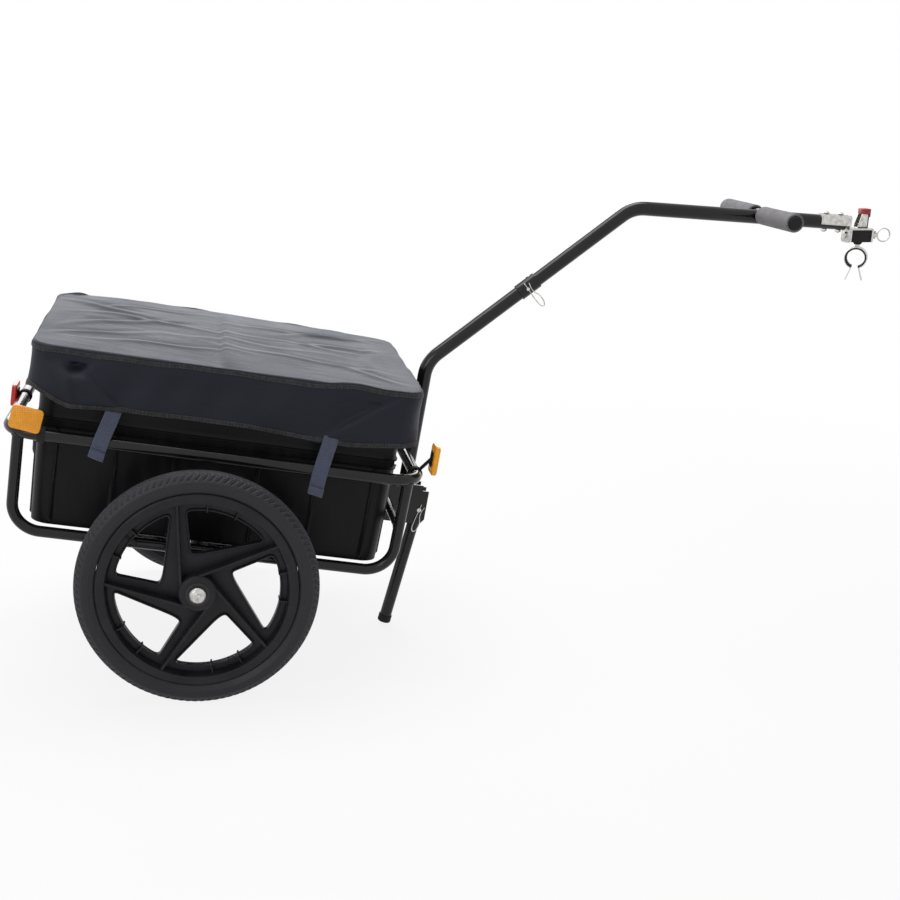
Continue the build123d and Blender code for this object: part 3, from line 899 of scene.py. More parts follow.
def groove(distance, half, soft):
    # 1 within half of a line, and a soft slope outside that
    return np.clip(1 - (np.abs(distance) - half) / soft, 0, 1)


def treadDepth(pitch, s):
    # How far the tread is cut away, by pitches round the tyre and millimetres from its
    # crown: two zigzag grooves, slanted cuts between them, and swept bars on the shoulders
    side, way = np.sign(s), np.abs(s)
    zigzag = 0.7 * (np.abs(((pitch * 2) % 1) - 0.5) * 4 - 1)
    length = tyre["pitchLength"]

    def phase(slant, share=1.0):
        # millimetres from the middle of the nearest cut in a row of slanted ones
        place = pitch * share + slant * way / length + side * 0.12
        return ((place % 1) - 0.5) * length / share

    inner = groove(way - 3.6 - zigzag * 0.6, 0.45, 0.5)
    outer = groove(way - 11.2 + zigzag, 0.7, 0.6)
    slanted = groove(phase(0.9), 0.55, 0.5) * (way > 4.2) * (way < 10.6)
    middle = groove(phase(-0.5) * 0.5, 0.3, 0.4) * (way < 3.2)
    bars = groove(phase(-0.75), 1.35, 0.8) * ramp(way, 11.5, 13) * (1 - ramp(way, 23.5, 25.0))
    short = groove(phase(-0.75) - 4.6, 0.5, 0.5) * ramp(way, 14, 15.5) * (1 - ramp(way, 20.5, 22))
    return (tyre["grooveDepth"] * np.maximum.reduce([0.7 * inner, outer, 0.8 * slanted,
                                                     0.5 * middle])
            + tyre["barDepth"] * np.maximum(bars, 0.7 * short))


def makeTyre(side):
    # The section is one smooth line carried round the axle, with the tread's cuts and the
    # flank's moulded rings taken off or put on along the surface's own direction
    half = np.array(tyre["section"])
    whole = np.concatenate([half[:0:-1] * [-1, 1], half])
    reach = np.concatenate([[0], np.cumsum(np.linalg.norm(np.diff(whole, axis=0), axis=1))])
    s = np.linspace(0, reach[-1], tyre["rows"])
    fine = np.linspace(0, reach[-1], 600)
    rough = np.stack([np.interp(fine, reach, whole[:, i]) for i in (0, 1)], -1)
    kernel = np.hanning(31) / np.hanning(31).sum()
    eased = np.stack([np.convolve(np.pad(rough[:, i], 15, "reflect", reflect_type="odd"), kernel,
                                  "valid")
                      for i in (0, 1)], -1)
    line = np.stack([np.interp(s, fine, eased[:, i]) for i in (0, 1)], -1)
    flow = unit(np.gradient(line, axis=0))
    normal = np.stack([-flow[:, 1], flow[:, 0]], -1)
    normal *= np.sign(normal[len(s) // 2, 1])
    count = tyre["pitches"] * tyre["perPitch"]
    turn = np.arange(count) * tau / count
    across = (s - reach[-1] / 2) * 1000
    depth = treadDepth(turn[:, None] / tau * tyre["pitches"], across[None, :])
    rings = sum(bell((np.abs(across) - place) / width) for place, width in tyre["rings"])
    shift = tyre["ringHeight"] * rings[None] - depth
    y = line[None, :, 0] + normal[None, :, 0] * shift
    radius = np.minimum(line[None, :, 1] + normal[None, :, 1] * shift, tyre["radius"])
    low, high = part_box("tyre_" + side)
    middle = (low + high) / 2
    points = np.stack([middle.x + radius * np.cos(turn)[:, None], middle.y + y + 0 * radius,
                       middle.z + radius * np.sin(turn)[:, None]], -1)
    faces = gridFaces(count, len(s), True)
    uv = np.stack(np.broadcast_arrays(np.arange(count + 1)[:, None] / count,
                                      (s / reach[-1])[None, :]), -1).reshape(-1, 2)
    piece = makePiece("tread_" + side, points, faces[:, ::-1], finishes["tyre_rubber"],
                      uv[gridFaces(count + 1, len(s))[:, ::-1]])
    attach(piece, side + "_wheel")
    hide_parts("tyre_" + side)


for side in ("right", "left"):
    makeTyre(side)
print("tyres: done")

wheel = {"arms": 5, "side": 0.300, "hub": 0.031, "hubHalf": 0.030, "webHalf": 0.003,
         "window": 0.135,
         "lip": 0.003, "lipHeight": 0.004, "lipEdge": 0.0008, "rimWall": 0.146, "loopPoints": 110,
         "lead": (102.5, 0.005), "trail": (18.9, 0.059), "ridge": (99.6, 0.027),
         "ridgeHalf": 0.0025,
         "ridgeReach": (0.029, 0.152), "gussetHalf": (0.0015, 0.012),
         "ridgeHeights": (0.026, 0.017), "gussets": (71, 91), "valveTurn": 149,
         "rim": ((0.1500, 0.0190), (0.1630, 0.0190), (0.1660, 0.0170), (0.1660, 0.0155),
                 (0.1600, 0.0140), (0.1570, 0.0080), (0.1570, -0.0080), (0.1600, -0.0140),
                 (0.1660, -0.0155), (0.1660, -0.0170), (0.1630, -0.0190), (0.1500, -0.0190),
                 (0.1460, -0.0030), (0.1460, 0.0030))}


def lineTurn(line, radius):
    # The angle round the axle at which a straight edge, given by its direction and its
    # distance from the axle, is at a radius
    return np.radians(line[0]) + np.arcsin(np.clip(line[1] / radius, -1, 1))


def polar(radius, turn):
    return np.stack([radius * np.cos(turn), radius * np.sin(turn)], -1)


def windowLoop():
    # Round one window from its root: out along the trailing edge, round the arc, back along
    # the leading edge. Then the loop round the window's own share of the web, point for
    # point: from the hub out along one ridge, round the rim and back along the next ridge.
    lead, trail, ridge, count = wheel["lead"], wheel["trail"], wheel["ridge"], wheel["loopPoints"]
    radii = np.linspace(trail[1] + 0.0004, wheel["window"], 4000)
    gap = lineTurn(lead, radii) - lineTurn(trail, radii)
    root = radii[np.argmax(gap > 0)]
    r = np.linspace(root, wheel["window"], count)
    arc = np.linspace(lineTurn(trail, wheel["window"]), lineTurn(lead, wheel["window"]), count)
    window = np.concatenate([polar(r, lineTurn(trail, r)),
                             polar(wheel["window"] + 0 * arc, arc)[1:],
                             polar(r[::-1], lineTurn(lead, r[::-1]))[1:-1]])
    for _ in range(14):   # each pass draws the edge towards its neighbours' mean
        window = (np.roll(window, 2, 0) + window * 2 + np.roll(window, -2, 0)) / 4
    hub, wall, step = wheel["hub"] - 0.002, wheel["rimWall"] + 0.001, tau / wheel["arms"]
    out = np.linspace(hub, wall, count)
    ridgeArc = np.linspace(lineTurn(ridge, wall) - step, lineTurn(ridge, wall), count)
    border = np.concatenate([polar(out, lineTurn(ridge, out) - step),
                             polar(wall + 0 * ridgeArc, ridgeArc)[1:],
                             polar(out[::-1], lineTurn(ridge, out[::-1]))[1:-1]])
    return window, border


def webGrids():
    # One fifth of the web is a closed strip round its window: flat out to the border, with a
    # lip that stands up along the window on both faces
    window, border = windowLoop()
    flow = alongLine(np.concatenate([window, 0 * window[:, :1]], 1), True)
    outward = np.stack([flow[:, 1], -flow[:, 0]], -1)
    outward *= np.sign(((window - window.mean(0)) * outward).sum(-1, keepdims=True).mean())
    half, lip, edge = wheel["webHalf"], wheel["lip"], wheel["lipEdge"]
    rise = wheel["lipHeight"] + half
    section = [(None, half), (lip, half), (lip, rise - edge), (lip - edge, rise), (edge, rise),
               (0, rise - edge), (0, edge - rise), (edge, -rise), (lip - edge, -rise),
               (lip, edge - rise), (lip, -half), (None, -half)]
    rows = []
    for reach, height in section:
        flat = border if reach is None else window + outward * reach
        rows.append(np.stack([flat[:, 0], 0 * flat[:, 0] + height, flat[:, 1]], -1))
    return np.stack(rows, 1)


def aroundWheel(grid, index, side):
    # Turned about the axle by its share of a turn, and for the left wheel half round
    # upright, then moved to the wheel's place
    turn = -index * tau / wheel["arms"]
    c, s = math.cos(turn), math.sin(turn)
    x, y, z = grid[..., 0] * c + grid[..., 2] * s, grid[..., 1], grid[..., 2] * c - grid[..., 0] * s
    return np.stack([-side * x, -side * y, z], -1) + np.array([0, side * wheel["side"], 0])


def makeWheel(name, side):
    # Rim and hub are turned; the web with its windows, the upright ridge beside each arm and
    # the gussets between arm and rim are set round the axle
    centre = (0, 0, 0)
    rim = turnedGrid(rounded(wheel["rim"], 0.0008, 3), centre, count=240)
    half, radius = wheel["hubHalf"], wheel["hub"]
    hubLine = rounded([(0.010, half - 0.009), (0.020, half - 0.009), (0.020, half),
                       (radius - 0.004, half),
                       (radius, half - 0.004), (radius, 0.004 - half), (radius - 0.004, -half),
                       (0.020, -half), (0.020, 0.009 - half), (0.010, 0.009 - half)], 0.0010, 3)
    hub = turnedGrid(hubLine, centre, count=96)
    grids = [(aroundWheel(rim, 0, side), True, True), (aroundWheel(hub, 0, side), True, True)]
    web = webGrids()
    angle, offset = np.radians(wheel["ridge"][0]), wheel["ridge"][1]
    # the ridge runs straight past the axle, from one distance from it to another
    start, end = (math.sqrt(reach ** 2 - offset ** 2) for reach in wheel["ridgeReach"])
    way = np.linspace(start, end, 24)
    line = np.stack([-offset * np.sin(angle) + way * np.cos(angle), 0 * way,
                     offset * np.cos(angle) + way * np.sin(angle)], -1)
    heights = np.interp(way, (way[0], way[-1]), wheel["ridgeHeights"])
    section = softBar(24, 0.22)[None] * np.stack([0 * heights + wheel["ridgeHalf"], heights],
                                                 -1)[:, None]
    across = np.array([-np.sin(angle), 0, np.cos(angle)])[None] + 0 * line
    ridge = carried(line, across, np.array([0.0, 1, 0])[None] + 0 * line, section, False)
    for index in range(wheel["arms"]):
        grids.append((aroundWheel(web, index, side), True, False))
        grids.append((aroundWheel(ridge, index, side), False, True))
        for place in wheel["gussets"]:
            turn = math.radians(place)
            r = np.linspace(wheel["window"] - 0.001, wheel["rimWall"] + 0.004, 5)
            bar = np.stack([r * math.cos(turn), 0 * r, r * math.sin(turn)], -1)
            sideways = np.array([-math.sin(turn), 0, math.cos(turn)])[None] + 0 * bar
            grids.append((aroundWheel(carried(bar, sideways, np.array([0.0, 1, 0])[None] + 0 * bar,
                                              softBar(16, 0.25) * wheel["gussetHalf"], False),
                                      index, side),
                          False, True))
    piece = joined("wheel_" + name, grids, finishes["wheel_plastic"], name + "_wheel", 32)
    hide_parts("moulded_wheel_" + name)
    # valve with its cap
    turn = math.radians(wheel["valveTurn"])
    way = np.array([math.cos(turn), 0, math.sin(turn)])
    stem = rounded([(0.0, 0.125), (0.0040, 0.125), (0.0048, 0.127), (0.0048, 0.1395),
                    (0.0042, 0.1400),
                    (0.0042, 0.1567), (0.0, 0.1567)], 0.0008, 3, False)
    valve = joined("valve_" + name,
                   [(aroundWheel(turnedGrid(stem, centre, way, (0, 1, 0), 28), 0, side),
                                      True, False)], finishes["rubber"], name + "_wheel")
    # domed nut with a flange on the end of the axle
    end = side * (wheel["side"] + half)
    nutLine = rounded([(0.0, 0.0003), (0.0115, 0.0003), (0.0118, 0.0018), (0.0140, 0.0018),
                       (0.0140, 0.0060),
                       (0.0105, 0.0100), (0.0060, 0.0102), (0.0060, 0.0135), (0.0, 0.0140)],
                      0.0010, 4, False)
    nut = joined("hub_nut_" + name,
                 [(turnedGrid(nutLine, (0, end, 0), (0, side, 0), count=48), True, False)],
                 finishes["zinc_steel"], "frame")
    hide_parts("axle_nut_" + name)


for name, side in (("right", -1), ("left", 1)):
    makeWheel(name, side)
print("wheels: done")

tub = {"centre": 0.008, "bottom": 0.0424, "rim": 0.350, "halfLength": (0.296, 0.303),
       "halfWidth": (0.199, 0.2115), "corner": 0.030, "overhang": 0.0145, "wall": 0.003,
       "lipFrom": 0.336, "lipRound": 0.0012,
       "floorTop": 0.0454, "ribHeights": (0.048, 0.053, 0.2135), "ribPlaces": (0.03, 0.275),
       "ribFirst": 0.069, "ribPitch": 0.097, "ribHalf": 0.0027, "ribDepth": 0.0034,
       "beads": (0.213, 0.228), "beadHalf": 0.0022, "beadDepth": 0.002, "around": 1400,
       "gripHalf": 0.140, "gripHeights": (0.128, 0.206), "gripDepth": 0.011}


def makeTub():
    # A rounded outline that widens with height is carried up the outer wall, over the rim
    # with its turned-down lip, down the inner wall and across the floor. The walls stand out
    # in upright ribs below two beads that go all round, and in a grip at each end.
    flat = np.linspace(0, 1, tub["around"], endpoint=False)
    heights = np.concatenate([np.linspace(0.0445, 0.0545, 6), np.linspace(0.120, 0.2095, 14),
                              np.linspace(0.2100, 0.2310, 26), np.linspace(0.238, 0.336, 3)])
    bottom, rim, lipFrom, floorTop = tub["bottom"], tub["rim"], tub["lipFrom"], tub["floorTop"]
    overhang, wallInset, lipRound = tub["overhang"], -tub["wall"], tub["lipRound"]
    # each row is a height and how far it stands out from the wall
    rows = [(bottom, -0.30), (bottom, -0.005)] + [(z, 0.0) for z in heights]
    rows += [(lipFrom, overhang - 0.003), (lipFrom + 0.002, overhang), (rim - lipRound, overhang),
             (rim, overhang - lipRound), (rim, 0.0), (rim - 0.001, wallInset),
             (floorTop + 0.002, wallInset), (floorTop, -0.006), (floorTop, -0.30)]
    grid = []
    for z, inset in rows:
        share = (z - tub["bottom"]) / (tub["rim"] - tub["bottom"])
        length = np.interp(share, (0, 1), tub["halfLength"]) + max(inset, -0.03)
        width = np.interp(share, (0, 1), tub["halfWidth"]) + max(inset, -0.03)
        corner = tub["corner"] + max(inset, -0.024)
        line = roundedOutline(flat, 2 * length, 2 * width, corner)
        if inset < -0.1:   # the floor closes on its own middle
            line = line * 0
        if inset == 0.0 and z < lipFrom:   # a row of the outer wall
            out = np.stack([np.where(np.abs(line[:, 0]) > length - 0.004, np.sign(line[:, 0]), 0),
                            np.where(np.abs(line[:, 1]) > width - 0.004, np.sign(line[:, 1]), 0)],
                           -1)
            run = np.where(np.abs(out[:, 1]) > 0, line[:, 0], line[:, 1])
            nearest = np.abs((np.abs(run) - tub["ribFirst"] + tub["ribPitch"] / 2) % tub["ribPitch"]
                             - tub["ribPitch"] / 2)
            first, last = tub["ribPlaces"]
            foot, full, top = tub["ribHeights"]
            ribs = (groove(nearest, tub["ribHalf"] - 0.0012, 0.0012) * (np.abs(run) > first)
                    * (np.abs(run) < last) * ramp(z, foot, full) * (z < top) * tub["ribDepth"])
            beads = max(groove(z - bead, tub["beadHalf"] - 0.0008, 0.001) for bead in tub["beads"])
            grip = (np.abs(out[:, 0]) * (1 - ramp(np.abs(line[:, 1]), tub["gripHalf"] - 0.018,
                                                  tub["gripHalf"]))
                    * ramp(z, tub["gripHeights"][0], tub["gripHeights"][0] + 0.018)
                    * (1 - ramp(z, tub["gripHeights"][1] - 0.018,
                                tub["gripHeights"][1])) * tub["gripDepth"])
            line = line * (1 + beads * tub["beadDepth"] / width)
            line = line + out * np.maximum(ribs, grip)[:, None]
        grid.append(np.column_stack([line[:, 0] + tub["centre"], line[:, 1], 0 * flat + z]))
    piece = joined("tub_moulding", [(np.array(grid), False, True)], finishes["tub_plastic"],
                   "frame", 34)
    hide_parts("tub")


makeTub()
print("tub: done")

reflector = {"wide": 0.050, "tall": 0.038, "depth": 0.0085, "corner": 0.006, "plate": 0.002,
             "band": 0.01225, "bandInner": 0.0101, "bandHalf": 0.006, "tip": 8}


def squareOutline(wide, tall, corner, first, second):
    # A rounded rectangle across two directions
    line = roundedOutline(np.linspace(0, 1, 72, endpoint=False), wide, tall, corner)
    return line[:, :1] * np.array(first, float) + line[:, 1:] * np.array(second, float)


def makeReflector(name, middle, outward, along, up, size, slot, ringPoint, ringWay):
    # A lens block on a small plate, with an arm down to a band round the ring tube
    outward, along, up = (unit(np.array(way, float)) for way in (outward, along, up))
    lensLine = squareOutline(size[0], size[1], reflector["corner"], along, up) + middle
    lensPiece = joined(name + "_lens",
                       [(blockGrid(lensLine, 0, reflector["depth"], outward, 0.0012),
                                         False, True)], finishes[slot], "frame", 50)
    plateLine = squareOutline(size[0] * 0.5, size[1] * 0.5, 0.002, along, up) + middle
    band = rounded([(reflector["bandInner"], reflector["bandHalf"]),
                    (reflector["band"], reflector["bandHalf"]),
                    (reflector["band"], -reflector["bandHalf"]),
                    (reflector["bandInner"], -reflector["bandHalf"])],
                   0.0006, 3)
    middle, ringPoint = np.array(middle, float), np.array(ringPoint, float)
    armWay = unit(middle - outward * 0.001 - ringPoint)
    armStart = ringPoint + armWay * 0.0112
    arm = np.linspace(armStart, middle - outward * 0.0012, 6)
    thin = unit(np.cross(armWay, ringWay))
    section = softBar(16, 0.3) * [0.0060, 0.0015]
    holder = joined(name + "_holder", [
        (blockGrid(plateLine, -reflector["plate"], 0.0002, outward, 0.0004), False, True),
        (turnedGrid(band, ringPoint, ringWay, outward, 40), True, True),
        (carried(arm, np.array(ringWay, float)[None] + 0 * arm, thin[None] + 0 * arm, section,
                 False),
         False, True)], finishes["rubber"], "frame")


tip = math.radians(reflector["tip"])   # the side lenses lean back a little
for side, name in ((-1, "right"), (1, "left")):
    makeReflector("side_reflector_" + name, (-0.303, side * 0.25315, 0.235), (0, side, 0),
                  (math.cos(tip), 0, -math.sin(tip)), (math.sin(tip), 0, math.cos(tip)),
                  (reflector["wide"], reflector["tall"]), "amber_lens",
                  (-0.2785, side * 0.240, 0.207), (1, 0, 0))
    makeReflector("front_reflector_" + name, (0.36565, side * 0.204, 0.2415), (1, 0, 0),
                  (0, 1, 0), (0, 0, 1),
                  (reflector["tall"], reflector["wide"]), "amber_lens",
                  (0.3455, side * 0.184, 0.207), (0, 1, 0))
makeReflector("rear_reflector", (-0.34765, 0, 0.210), (-1, 0, 0), (0, 1, 0), (0, 0, 1),
              (reflector["wide"], reflector["tall"]), "red_lens", (-0.3345, 0, 0.207), (0, 1, 0))
print("reflectors: done")

handle = {"half": 0.150, "grip": 0.016, "gripLength": 0.132, "round": 0.004}
handleLow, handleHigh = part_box("handle_bar")
handleCentre = np.array((handleLow + handleHigh) / 2)


def parkedPiece(name, grids, material, body, sharp=40):
    # As joined, for points that are in parked coordinates already
    back = [(toLevel(grid), closeRows, closeColumns) for grid, closeRows, closeColumns in grids]
    return joined(name, back, material, body, sharp)


def toLevel(points):
    # Parked coordinates back to level ones
    x, y, z = np.moveaxis(np.asarray(points, float) - np.array(axleCentre), -1, 0)
    return np.stack([x * tiltCosine - z * tiltSine, y, z * tiltCosine + x * tiltSine], -1)


for name, side in (("right", -1), ("left", 1)):
    end, length = handle["half"] + 0.0002, handle["gripLength"]
    gripLine = rounded([(0.0110, end - length), (handle["grip"], end - length),
                        (handle["grip"], end),
                        (0.0118, end), (0.0118, end - 0.004), (0.0110, end - 0.004)],
                       handle["round"] * 0.8, 6)
    grip = parkedPiece("foam_grip_" + name,
                       [(turnedGrid(gripLine, handleCentre, (0, side, 0), count=64),
                                              True, True)], finishes["grip_foam"], "frame")
    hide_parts("grip_" + name)
    plugLine = rounded([(0.0, end - 0.003), (0.0115, end - 0.003), (0.0115, end + 0.001),
                        (0.0095, end + 0.0028),
                        (0.0, end + 0.003)], 0.0008, 3, False)
    plug = parkedPiece("handle_plug_" + name,
                       [(turnedGrid(plugLine, handleCentre, (0, side, 0), count=40),
                                                True, False)], finishes["rubber"], "frame")
print("handle: done")

joint = {"x": 0.539, "knee": (0.368, 0.368), "slope": 45.8, "sleeve": 0.040, "outer": 0.0148,
         "inner": 0.0124, "pinBack": 0.024, "clip": 0.044, "wire": 0.001}
slopeWay = np.array([math.cos(math.radians(joint["slope"])), 0,
                     math.sin(math.radians(joint["slope"]))])
slopeOut = np.array([-slopeWay[2], 0, slopeWay[0]])
jointPoint = np.array([joint["x"], 0, joint["knee"][1] + math.tan(math.radians(joint["slope"]))
                       * (joint["x"] - joint["knee"][0])])


def clipLine(place, down, out, length):
    # A spring clip's wire: one straight leg, a round end, and a waved leg back to the pin
    shape = np.array([(0, -0.012), (0, length * 0.5), (0.001, length * 0.85), (0.006, length),
                      (0.011, length * 0.85),
                      (0.0115, length * 0.5), (0.006, 0.012), (0.0050, 0.002), (0.0075, -0.008)])
    line = rounded(shape, 0.006, 8, False)
    return np.array(place) + line[:, :1] * out + line[:, 1:] * down


sleeveLine = rounded([(joint["inner"], -joint["sleeve"]), (joint["outer"], -joint["sleeve"]),
                      (joint["outer"], 0), (joint["inner"], 0)], 0.0010, 4)
buttonLine = rounded([(0.0, 0.013), (0.0045, 0.013), (0.0045, 0.0166), (0.0, 0.0172)], 0.0015, 5,
                     False)
crossPlace = jointPoint - slopeWay * joint["pinBack"]
pinLine = rounded([(0.0, -0.0195), (0.003, -0.0195), (0.003, 0.0195), (0.0, 0.0195)], 0.0005, 3,
                  False)
for name, grids, slot in (
        ("drawbar_sleeve", [(turnedGrid(sleeveLine, jointPoint, slopeWay, (0, 1, 0), 64), True,
                             True)], "black_steel"),
        ("spring_button",
         [(turnedGrid(buttonLine, jointPoint - slopeWay * 0.009, slopeOut, (0, 1, 0), 32),
                            True, False)], "zinc_steel"),
        ("drawbar_pin", [(turnedGrid(pinLine, crossPlace, (0, 1, 0), (1, 0, 0), 28), True, False),
                         (tubeGrid(clipLine(crossPlace + [0, -0.0172, 0], -slopeOut, slopeWay,
                                            joint["clip"]),
                                   joint["wire"], False, 10), False, True)], "zinc_steel")):
    small = joined(name, grids, finishes[slot], "frame")
pinLow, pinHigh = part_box("stand_pin")
pinPlace = toLevel(np.array((pinLow + pinHigh) / 2)) + [0, -0.0172, 0]
clipDown = np.array([-math.sin(math.radians(14)), 0, -math.cos(math.radians(14))])
standClip = joined("stand_clip", [(tubeGrid(clipLine(pinPlace, clipDown,
                                                     np.array([clipDown[2], 0, -clipDown[0]]) * -1,
                                                     joint["clip"]), joint["wire"], False, 10),
                                   False, True)],
                   finishes["zinc_steel"], "frame")
print("drawbar joint: done")

coupling = {"length": 0.0435, "width": 0.026, "top": 0.013, "bottom": -0.012, "wall": 0.003,
            "round": 0.004,
            "leverStart": -0.0085, "leverEnd": 0.0115, "leverTop": 0.046, "leverHalf": 0.009,
            "capHeight": 0.008, "tab": 0.015, "drop": 0.041, "liner": 0.0185, "inner": 0.0155,
            "band": 0.0016, "clampHalf": 0.010, "mouth": 0.006, "splay": 18, "ear": 0.024,
            "turn": -30,
            "ring": 0.0118, "ringWire": 0.0013, "pinEnd": 0.036}
blockLow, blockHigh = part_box("hitch_block")
couplingCentre = np.array((blockLow + blockHigh) / 2)


def atCoupling(grid, turn=0.0):
    # From the coupling's own level frame, whose origin is where the pin crosses the neck,
    # to the parked trailer, turned about the neck
    c, s = math.cos(math.radians(turn)), math.sin(math.radians(turn))
    x, y, z = np.moveaxis(np.asarray(grid, float), -1, 0)
    return np.stack([x * c - y * s, x * s + y * c, z], -1) + couplingCentre


def barOutline(points, corner):
    # An outline in the coupling's upright plane
    line = rounded(points, corner, 5)
    return np.stack([line[:, 0], 0 * line[:, 0], line[:, 1]], -1)


def makeCoupling():
    half, wall = coupling["length"] / 2, coupling["wall"]
    top, bottom = coupling["top"], coupling["bottom"]
    side = np.array([0.0, 1, 0])
    # the housing is a bent steel shell, open at both sides and below, round a dark bushing
    outer = rounded([(-half, bottom), (-half, top), (half, top), (half, bottom)],
                    coupling["round"], 6, False)
    inner = rounded([(half - wall, bottom), (half - wall, top - wall), (wall - half, top - wall),
                     (wall - half, bottom)], coupling["round"] * 0.6, 6, False)
    flat = np.stack([outer, inner[::-1]], 1)
    reach = coupling["width"] / 2
    shell = np.stack([np.column_stack([flat[:, k, 0], 0 * flat[:, 0, 0] + y, flat[:, k, 1]])
                      for k, y in ((0, -reach), (0, reach), (1, reach), (1, -reach))], 1)
    shell = np.concatenate([shell.mean(1, keepdims=True)[:1] + 0 * shell[:1], shell,
                            shell.mean(1, keepdims=True)[-1:] + 0 * shell[-1:]])
    housing = parkedPiece("coupling_housing", [(atCoupling(shell), False, True)],
                          finishes["zinc_steel"], "coupling")
    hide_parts("hitch_block")
    core = barOutline([(wall - half, bottom), (wall - half, top - wall), (half - wall, top - wall),
                       (half - wall, bottom)], 0.003)
    waist = rounded([(0.0, bottom + 0.002), (0.009, bottom + 0.002), (0.009, bottom),
                     (0.0055, bottom - 0.005),
                     (0.0, bottom - 0.005)], 0.0006, 3, False)
    bushing = parkedPiece("coupling_bushing", [
        (atCoupling(blockGrid(core, -0.012, 0.012, side)), False, True),
        (atCoupling(turnedGrid(waist, (0, 0, 0), (0, 0, 1), (1, 0, 0), 40)), True, False)],
        finishes["rubber"], "coupling")
    # the pin with its nut, cross bolt and pull ring
    end = coupling["pinEnd"]
    pinLine = rounded([(0.0, -0.029), (0.0065, -0.029), (0.0065, -0.026), (0.004, -0.0258),
                       (0.004, end - 0.001),
                       (0.003, end), (0.0, end)], 0.0004, 3, False)
    bolt = rounded([(0.0, -0.007), (0.002, -0.007), (0.002, 0.007), (0.0, 0.007)], 0.0004, 3, False)
    turn = np.arange(96) * tau / 96
    ring = np.column_stack([end + coupling["ring"] * (1 - np.cos(turn)), 0 * turn,
                            coupling["ring"] * np.sin(turn)])
    pin = parkedPiece("coupling_pin", [
        (atCoupling(turnedGrid(pinLine, (0, 0, 0), (1, 0, 0), (0, 1, 0), 32)), True, False),
        (atCoupling(turnedGrid(bolt, (0.031, 0, 0), (0, 0, 1), (1, 0, 0), 20)), True, False),
        (atCoupling(tubeGrid(ring, coupling["ringWire"], True, 12)), True, True)],
        finishes["zinc_steel"], "coupling")
    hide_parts("hitch_pin")
    # the lever is a folded plate with a soft red cap on its end
    start, stop, high = coupling["leverStart"], coupling["leverEnd"], coupling["leverTop"]
    plate = barOutline([(start, top), (stop, top), (stop, high), (stop - 0.011, high)], 0.001)
    lever = parkedPiece("lever_plate", [
        (atCoupling(blockGrid(plate, y - 0.001, y + 0.001, side, 0.0003)), False, True)
        for y in (-coupling["leverHalf"] + 0.001, coupling["leverHalf"] - 0.001)] + [
        (atCoupling(blockGrid(barOutline([(stop - 0.002, top), (stop, top), (stop, high),
                                          (stop - 0.002, high)], 0.0003),
                              -coupling["leverHalf"], coupling["leverHalf"], side, 0.0003)),
         False, True),
        (atCoupling(blockGrid(barOutline([(start, top), (stop, top), (stop, top + 0.002),
                                          (start, top + 0.002)], 0.0003),
                              -coupling["leverHalf"], coupling["leverHalf"], side, 0.0003)),
         False, True)],
        finishes["zinc_steel"], "coupling")
    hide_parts("latch_lever")
    capLow, capHigh = high - coupling["capHeight"], high + 0.0016
    cap = barOutline([(stop - 0.013, capLow), (stop - 0.013, capHigh), (stop + 0.0022, capHigh),
                      (stop + 0.0022, capHigh - coupling["tab"]),
                      (stop + 0.0003, capHigh - coupling["tab"]),
                      (stop + 0.0003, capLow)], 0.0012)
    leverCap = parkedPiece("lever_cap", [(atCoupling(blockGrid(
        cap, -coupling["leverHalf"] - 0.0014, coupling["leverHalf"] + 0.0014, side, 0.0012)),
                                          False, True)],
        capRed, "coupling", 60)
    # the clamp, swivelled about its neck: a band with a liner, open below, with two ears
    # splayed for their bolt
    centre = np.array([0, 0, -coupling["drop"]])
    gap = math.asin(coupling["mouth"] / coupling["liner"])
    arc = np.linspace(-tau / 4 + gap, tau * 3 / 4 - gap, 90)
    for name, low, high, node, slot in (("clamp_band", coupling["liner"],
                                         coupling["liner"] + coupling["band"],
                                         "seat_post_clamp", "zinc_steel"),
                                        ("clamp_pad", coupling["inner"], coupling["liner"],
                                         "clamp_liner", "rubber")):
        middle = np.column_stack([np.cos(arc), 0 * arc, np.sin(arc)])
        section = softBar(16, 0.25) * [coupling["clampHalf"], (high - low) / 2]
        band = carried(centre + middle * (low + high) / 2, side[None] + 0 * middle, middle,
                       section, False)
        grids = [(atCoupling(band, coupling["turn"]), False, True)]
        if slot == "zinc_steel":
            neck = rounded([(0.0, -0.0240), (0.004, -0.0240), (0.004, -0.013), (0.0, -0.013)],
                           0.0004, 3, False)
            grids.append((atCoupling(turnedGrid(neck, (0, 0, 0), (0, 0, 1), (1, 0, 0), 28),
                                     coupling["turn"]), True, False))
            for way in (-1, 1):
                lean = math.radians(coupling["splay"])
                down = np.array([way * math.sin(lean), 0, -math.cos(lean)])
                # the ear starts where the band ends
                drop = math.sqrt(coupling["liner"] ** 2 - coupling["mouth"] ** 2) + 0.0002
                root = centre + [way * (coupling["mouth"] + 0.0006), 0, -drop]
                ear = np.linspace(root, root + down * coupling["ear"], 10)
                ears = carried(ear, side[None] + 0 * ear, np.cross(down, side)[None] + 0 * ear,
                               softBar(16, 0.25)[None] * np.stack([
                                   np.interp(np.arange(10), (0, 7, 9),
                                             (1, 1, 0.75)) * coupling["clampHalf"],
                                   0 * np.arange(10) + coupling["band"] / 2], -1)[:, None], False)
                grids.append((atCoupling(ears, coupling["turn"]), False, True))
        clamp = parkedPiece(name, grids, finishes[slot], "seat_clamp")
        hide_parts(node)


saddle = {"knee": (0.686, 0.695), "rise": 4.7, "end": 1.083, "length": 0.050, "reach": 0.0060,
          "inner": 0.0126, "outer": 0.0151, "below": 16, "plate": (-0.0258, -0.0228),
          "plateTop": 0.036, "plateLow": -0.013, "bolts": (0.037, 0.010)}


